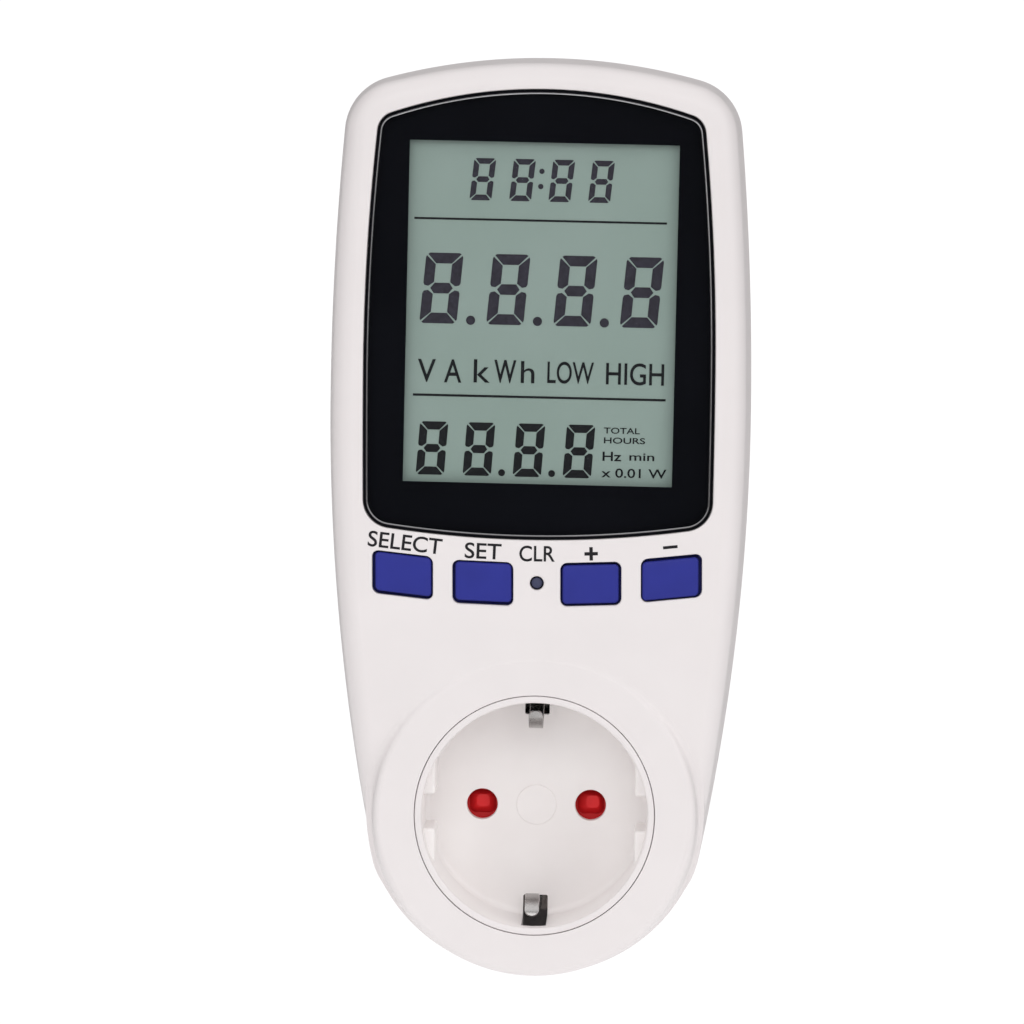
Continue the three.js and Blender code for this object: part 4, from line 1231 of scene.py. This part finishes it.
EARTH_PATH = [(16.25, 0.8), (16.75, 1.9), (17.0, 5), (17.0, 10), (17.0, 14), (16.3, 17), (16.2, 21.3)]
for side, name in ((1, "upper"), (-1, "lower")):
    shape = strip(EARTH_PATH, 2.2, 0.6, spacing=0.8, round_end=False)
    if side < 0:
        mirror_y(shape)
    piece(shape, f"plug_strip_{name}", LOOKS["nickel"], "nickel", stands_for=[f"plug_earth_{name}"])

# ---- screws and the inner parts ----


def build_screw(x, y, head_z, head_r, shank_r, length, name, node):
    profile = [(head_r - 0.5, head_z), (head_r - 0.2, head_z + 0.12), (head_r, head_z + 0.5),
               (head_r, head_z + 1.5), (shank_r, head_z + 1.55)]
    z = head_z + 2.2
    while z < head_z + length - 1.2:
        profile += [(shank_r * 0.82, z), (shank_r * 1.08, z + 0.3), (shank_r * 0.82, z + 0.6)]
        z += 0.8
    profile.append((shank_r * 0.4, head_z + length))
    body = to_object(name, turned(x, y, profile, 32))

    def corners(across, up):
        return [(x - across, y - up), (x + across, y - up), (x + across, y + up), (x - across, y + up)]

    arm, half = head_r * 0.62, 0.26
    body = cut(
        body,
        stack([(corners(arm, half), head_z - 1), (corners(arm * 0.5, half), head_z + 0.9)]),
        stack([(corners(half, arm), head_z - 1), (corners(half, arm * 0.5), head_z + 0.9)]),
    )
    piece(body, name, LOOKS["steel"], "steel", stands_for=[node])


for i, (x, y) in enumerate(CASE_SCREWS):
    build_screw(x, y, PAN_BACK + 5.2, 2.2, 1.1, 15, f"housing_screw_{i + 1}", f"case_screw_{i + 1}")
for i, (x, y) in enumerate(BOARD_SCREWS):
    build_screw(x, y, 44.8, 1.9, 0.85, 6.4, f"inner_screw_{i + 1}", f"board_screw_{i + 1}")

KEPT = {
    "insert": ["lcd_frame"], "film": ["lcd_reflector"], "silicone": ["keypad_sheet"],
    "zebra": ["contact_strip_upper", "contact_strip_lower"],
    "carbon": ["pill_mode", "pill_set", "pill_up", "pill_down", "pill_reset"],
    "chip": ["metering_chip", "processor_chip"], "crystal": ["crystal"], "film_cap": ["dropper_capacitor"],
    "can": ["capacitor_large", "capacitor_small"], "varistor": ["varistor"],
    "resistor": ["dropper_resistor"], "manganin": ["shunt"], "battery": ["backup_battery"],
    "wire_brown": ["wire_line_in", "wire_line_out"], "wire_blue": ["wire_neutral"],
    "steel": ["shutter_spring"], "brass": ["contact_line", "contact_neutral"],
    "nickel": ["earth_bridge", "earth_sleeve"], "holder": ["contact_block"], "board": ["main_board"],
}
for slot, names in KEPT.items():
    for name in names:
        node = NODES[name]
        node.data.materials.clear()
        node.data.materials.append(LOOKS[slot])
        for polygon in node.data.polygons:
            polygon.use_smooth = True
        node.data.set_sharp_from_angle(angle=math.radians(34))

# ---- stage, light and camera ----


def build_stage():
    look = Look("floor")
    material = look.done(
        look.patchy(400, 2, srgb(246, 246, 246), srgb(250, 250, 250)),
        Roughness=0.9, Specular_IOR_Level=0.1, Emission_Color=[1, 1, 1, 1], Emission_Strength=0.36,
    )
    mesh = bpy.data.meshes.new("floor")
    reach, height = 1.5, -0.3
    mesh.from_pydata([(-reach, -reach, height), (reach, -reach, height), (reach, reach, height),
                      (-reach, reach, height)], [], [(0, 1, 2, 3)])
    mesh.materials.append(material)
    add_object("floor", mesh)


def build_world(shown, lit):
    """A white surround: shown is its brightness to the eye, lit the light that it gives."""
    world = bpy.data.worlds.new("studio")
    world.use_nodes = True
    tree = world.node_tree
    light = tree.nodes["Background"]
    seen = tree.nodes.new("ShaderNodeBackground")
    for node, strength in ((light, lit), (seen, shown)):
        node.inputs["Color"].default_value = (1, 1, 1, 1)
        node.inputs["Strength"].default_value = strength
    path = tree.nodes.new("ShaderNodeLightPath")
    mix = tree.nodes.new("ShaderNodeMixShader")
    tree.links.new(path.outputs["Is Camera Ray"], mix.inputs[0])
    tree.links.new(light.outputs[0], mix.inputs[1])
    tree.links.new(seen.outputs[0], mix.inputs[2])
    tree.links.new(mix.outputs[0], tree.nodes["World Output"].inputs["Surface"])
    bpy.context.scene.world = world


def add_sun(name, towards, strength, spread):
    """Soft even light that travels along the way given."""
    light = bpy.data.lights.new(name, "SUN")
    light.energy = strength
    light.angle = math.radians(spread)
    obj = add_object(name, light)
    obj.rotation_mode = "QUATERNION"
    obj.rotation_quaternion = Vector(towards).to_track_quat("-Z", "Y")


def build_camera():
    aim = Vector((-0.00438, -0.0565, 0.05247))
    away = Vector((0.0255, -0.998, 0.0628)).normalized()
    data = bpy.data.cameras.new("camera")
    data.lens = 204.5
    data.sensor_width = 36
    data.clip_start, data.clip_end = 0.05, 50
    camera = add_object("camera", data)
    camera.location = aim + away
    camera.rotation_mode = "QUATERNION"
    roll = Matrix.Rotation(math.radians(0.6), 4, "Z").to_quaternion()
    camera.rotation_quaternion = (-away).to_track_quat("-Z", "Y") @ roll
    bpy.context.scene.camera = camera


build_stage()
build_world(1.05, 0.2)
add_sun("front", (0.0, 0.92, -0.39), 0.7, 40)
add_sun("left", (0.74, 0.56, -0.34), 0.54, 45)
add_sun("right", (-0.74, 0.56, -0.34), 0.8, 45)
add_sun("top", (0.0, 0.15, -1.0), 0.96, 60)
build_camera()
bpy.context.scene.view_settings.view_transform = "Standard"
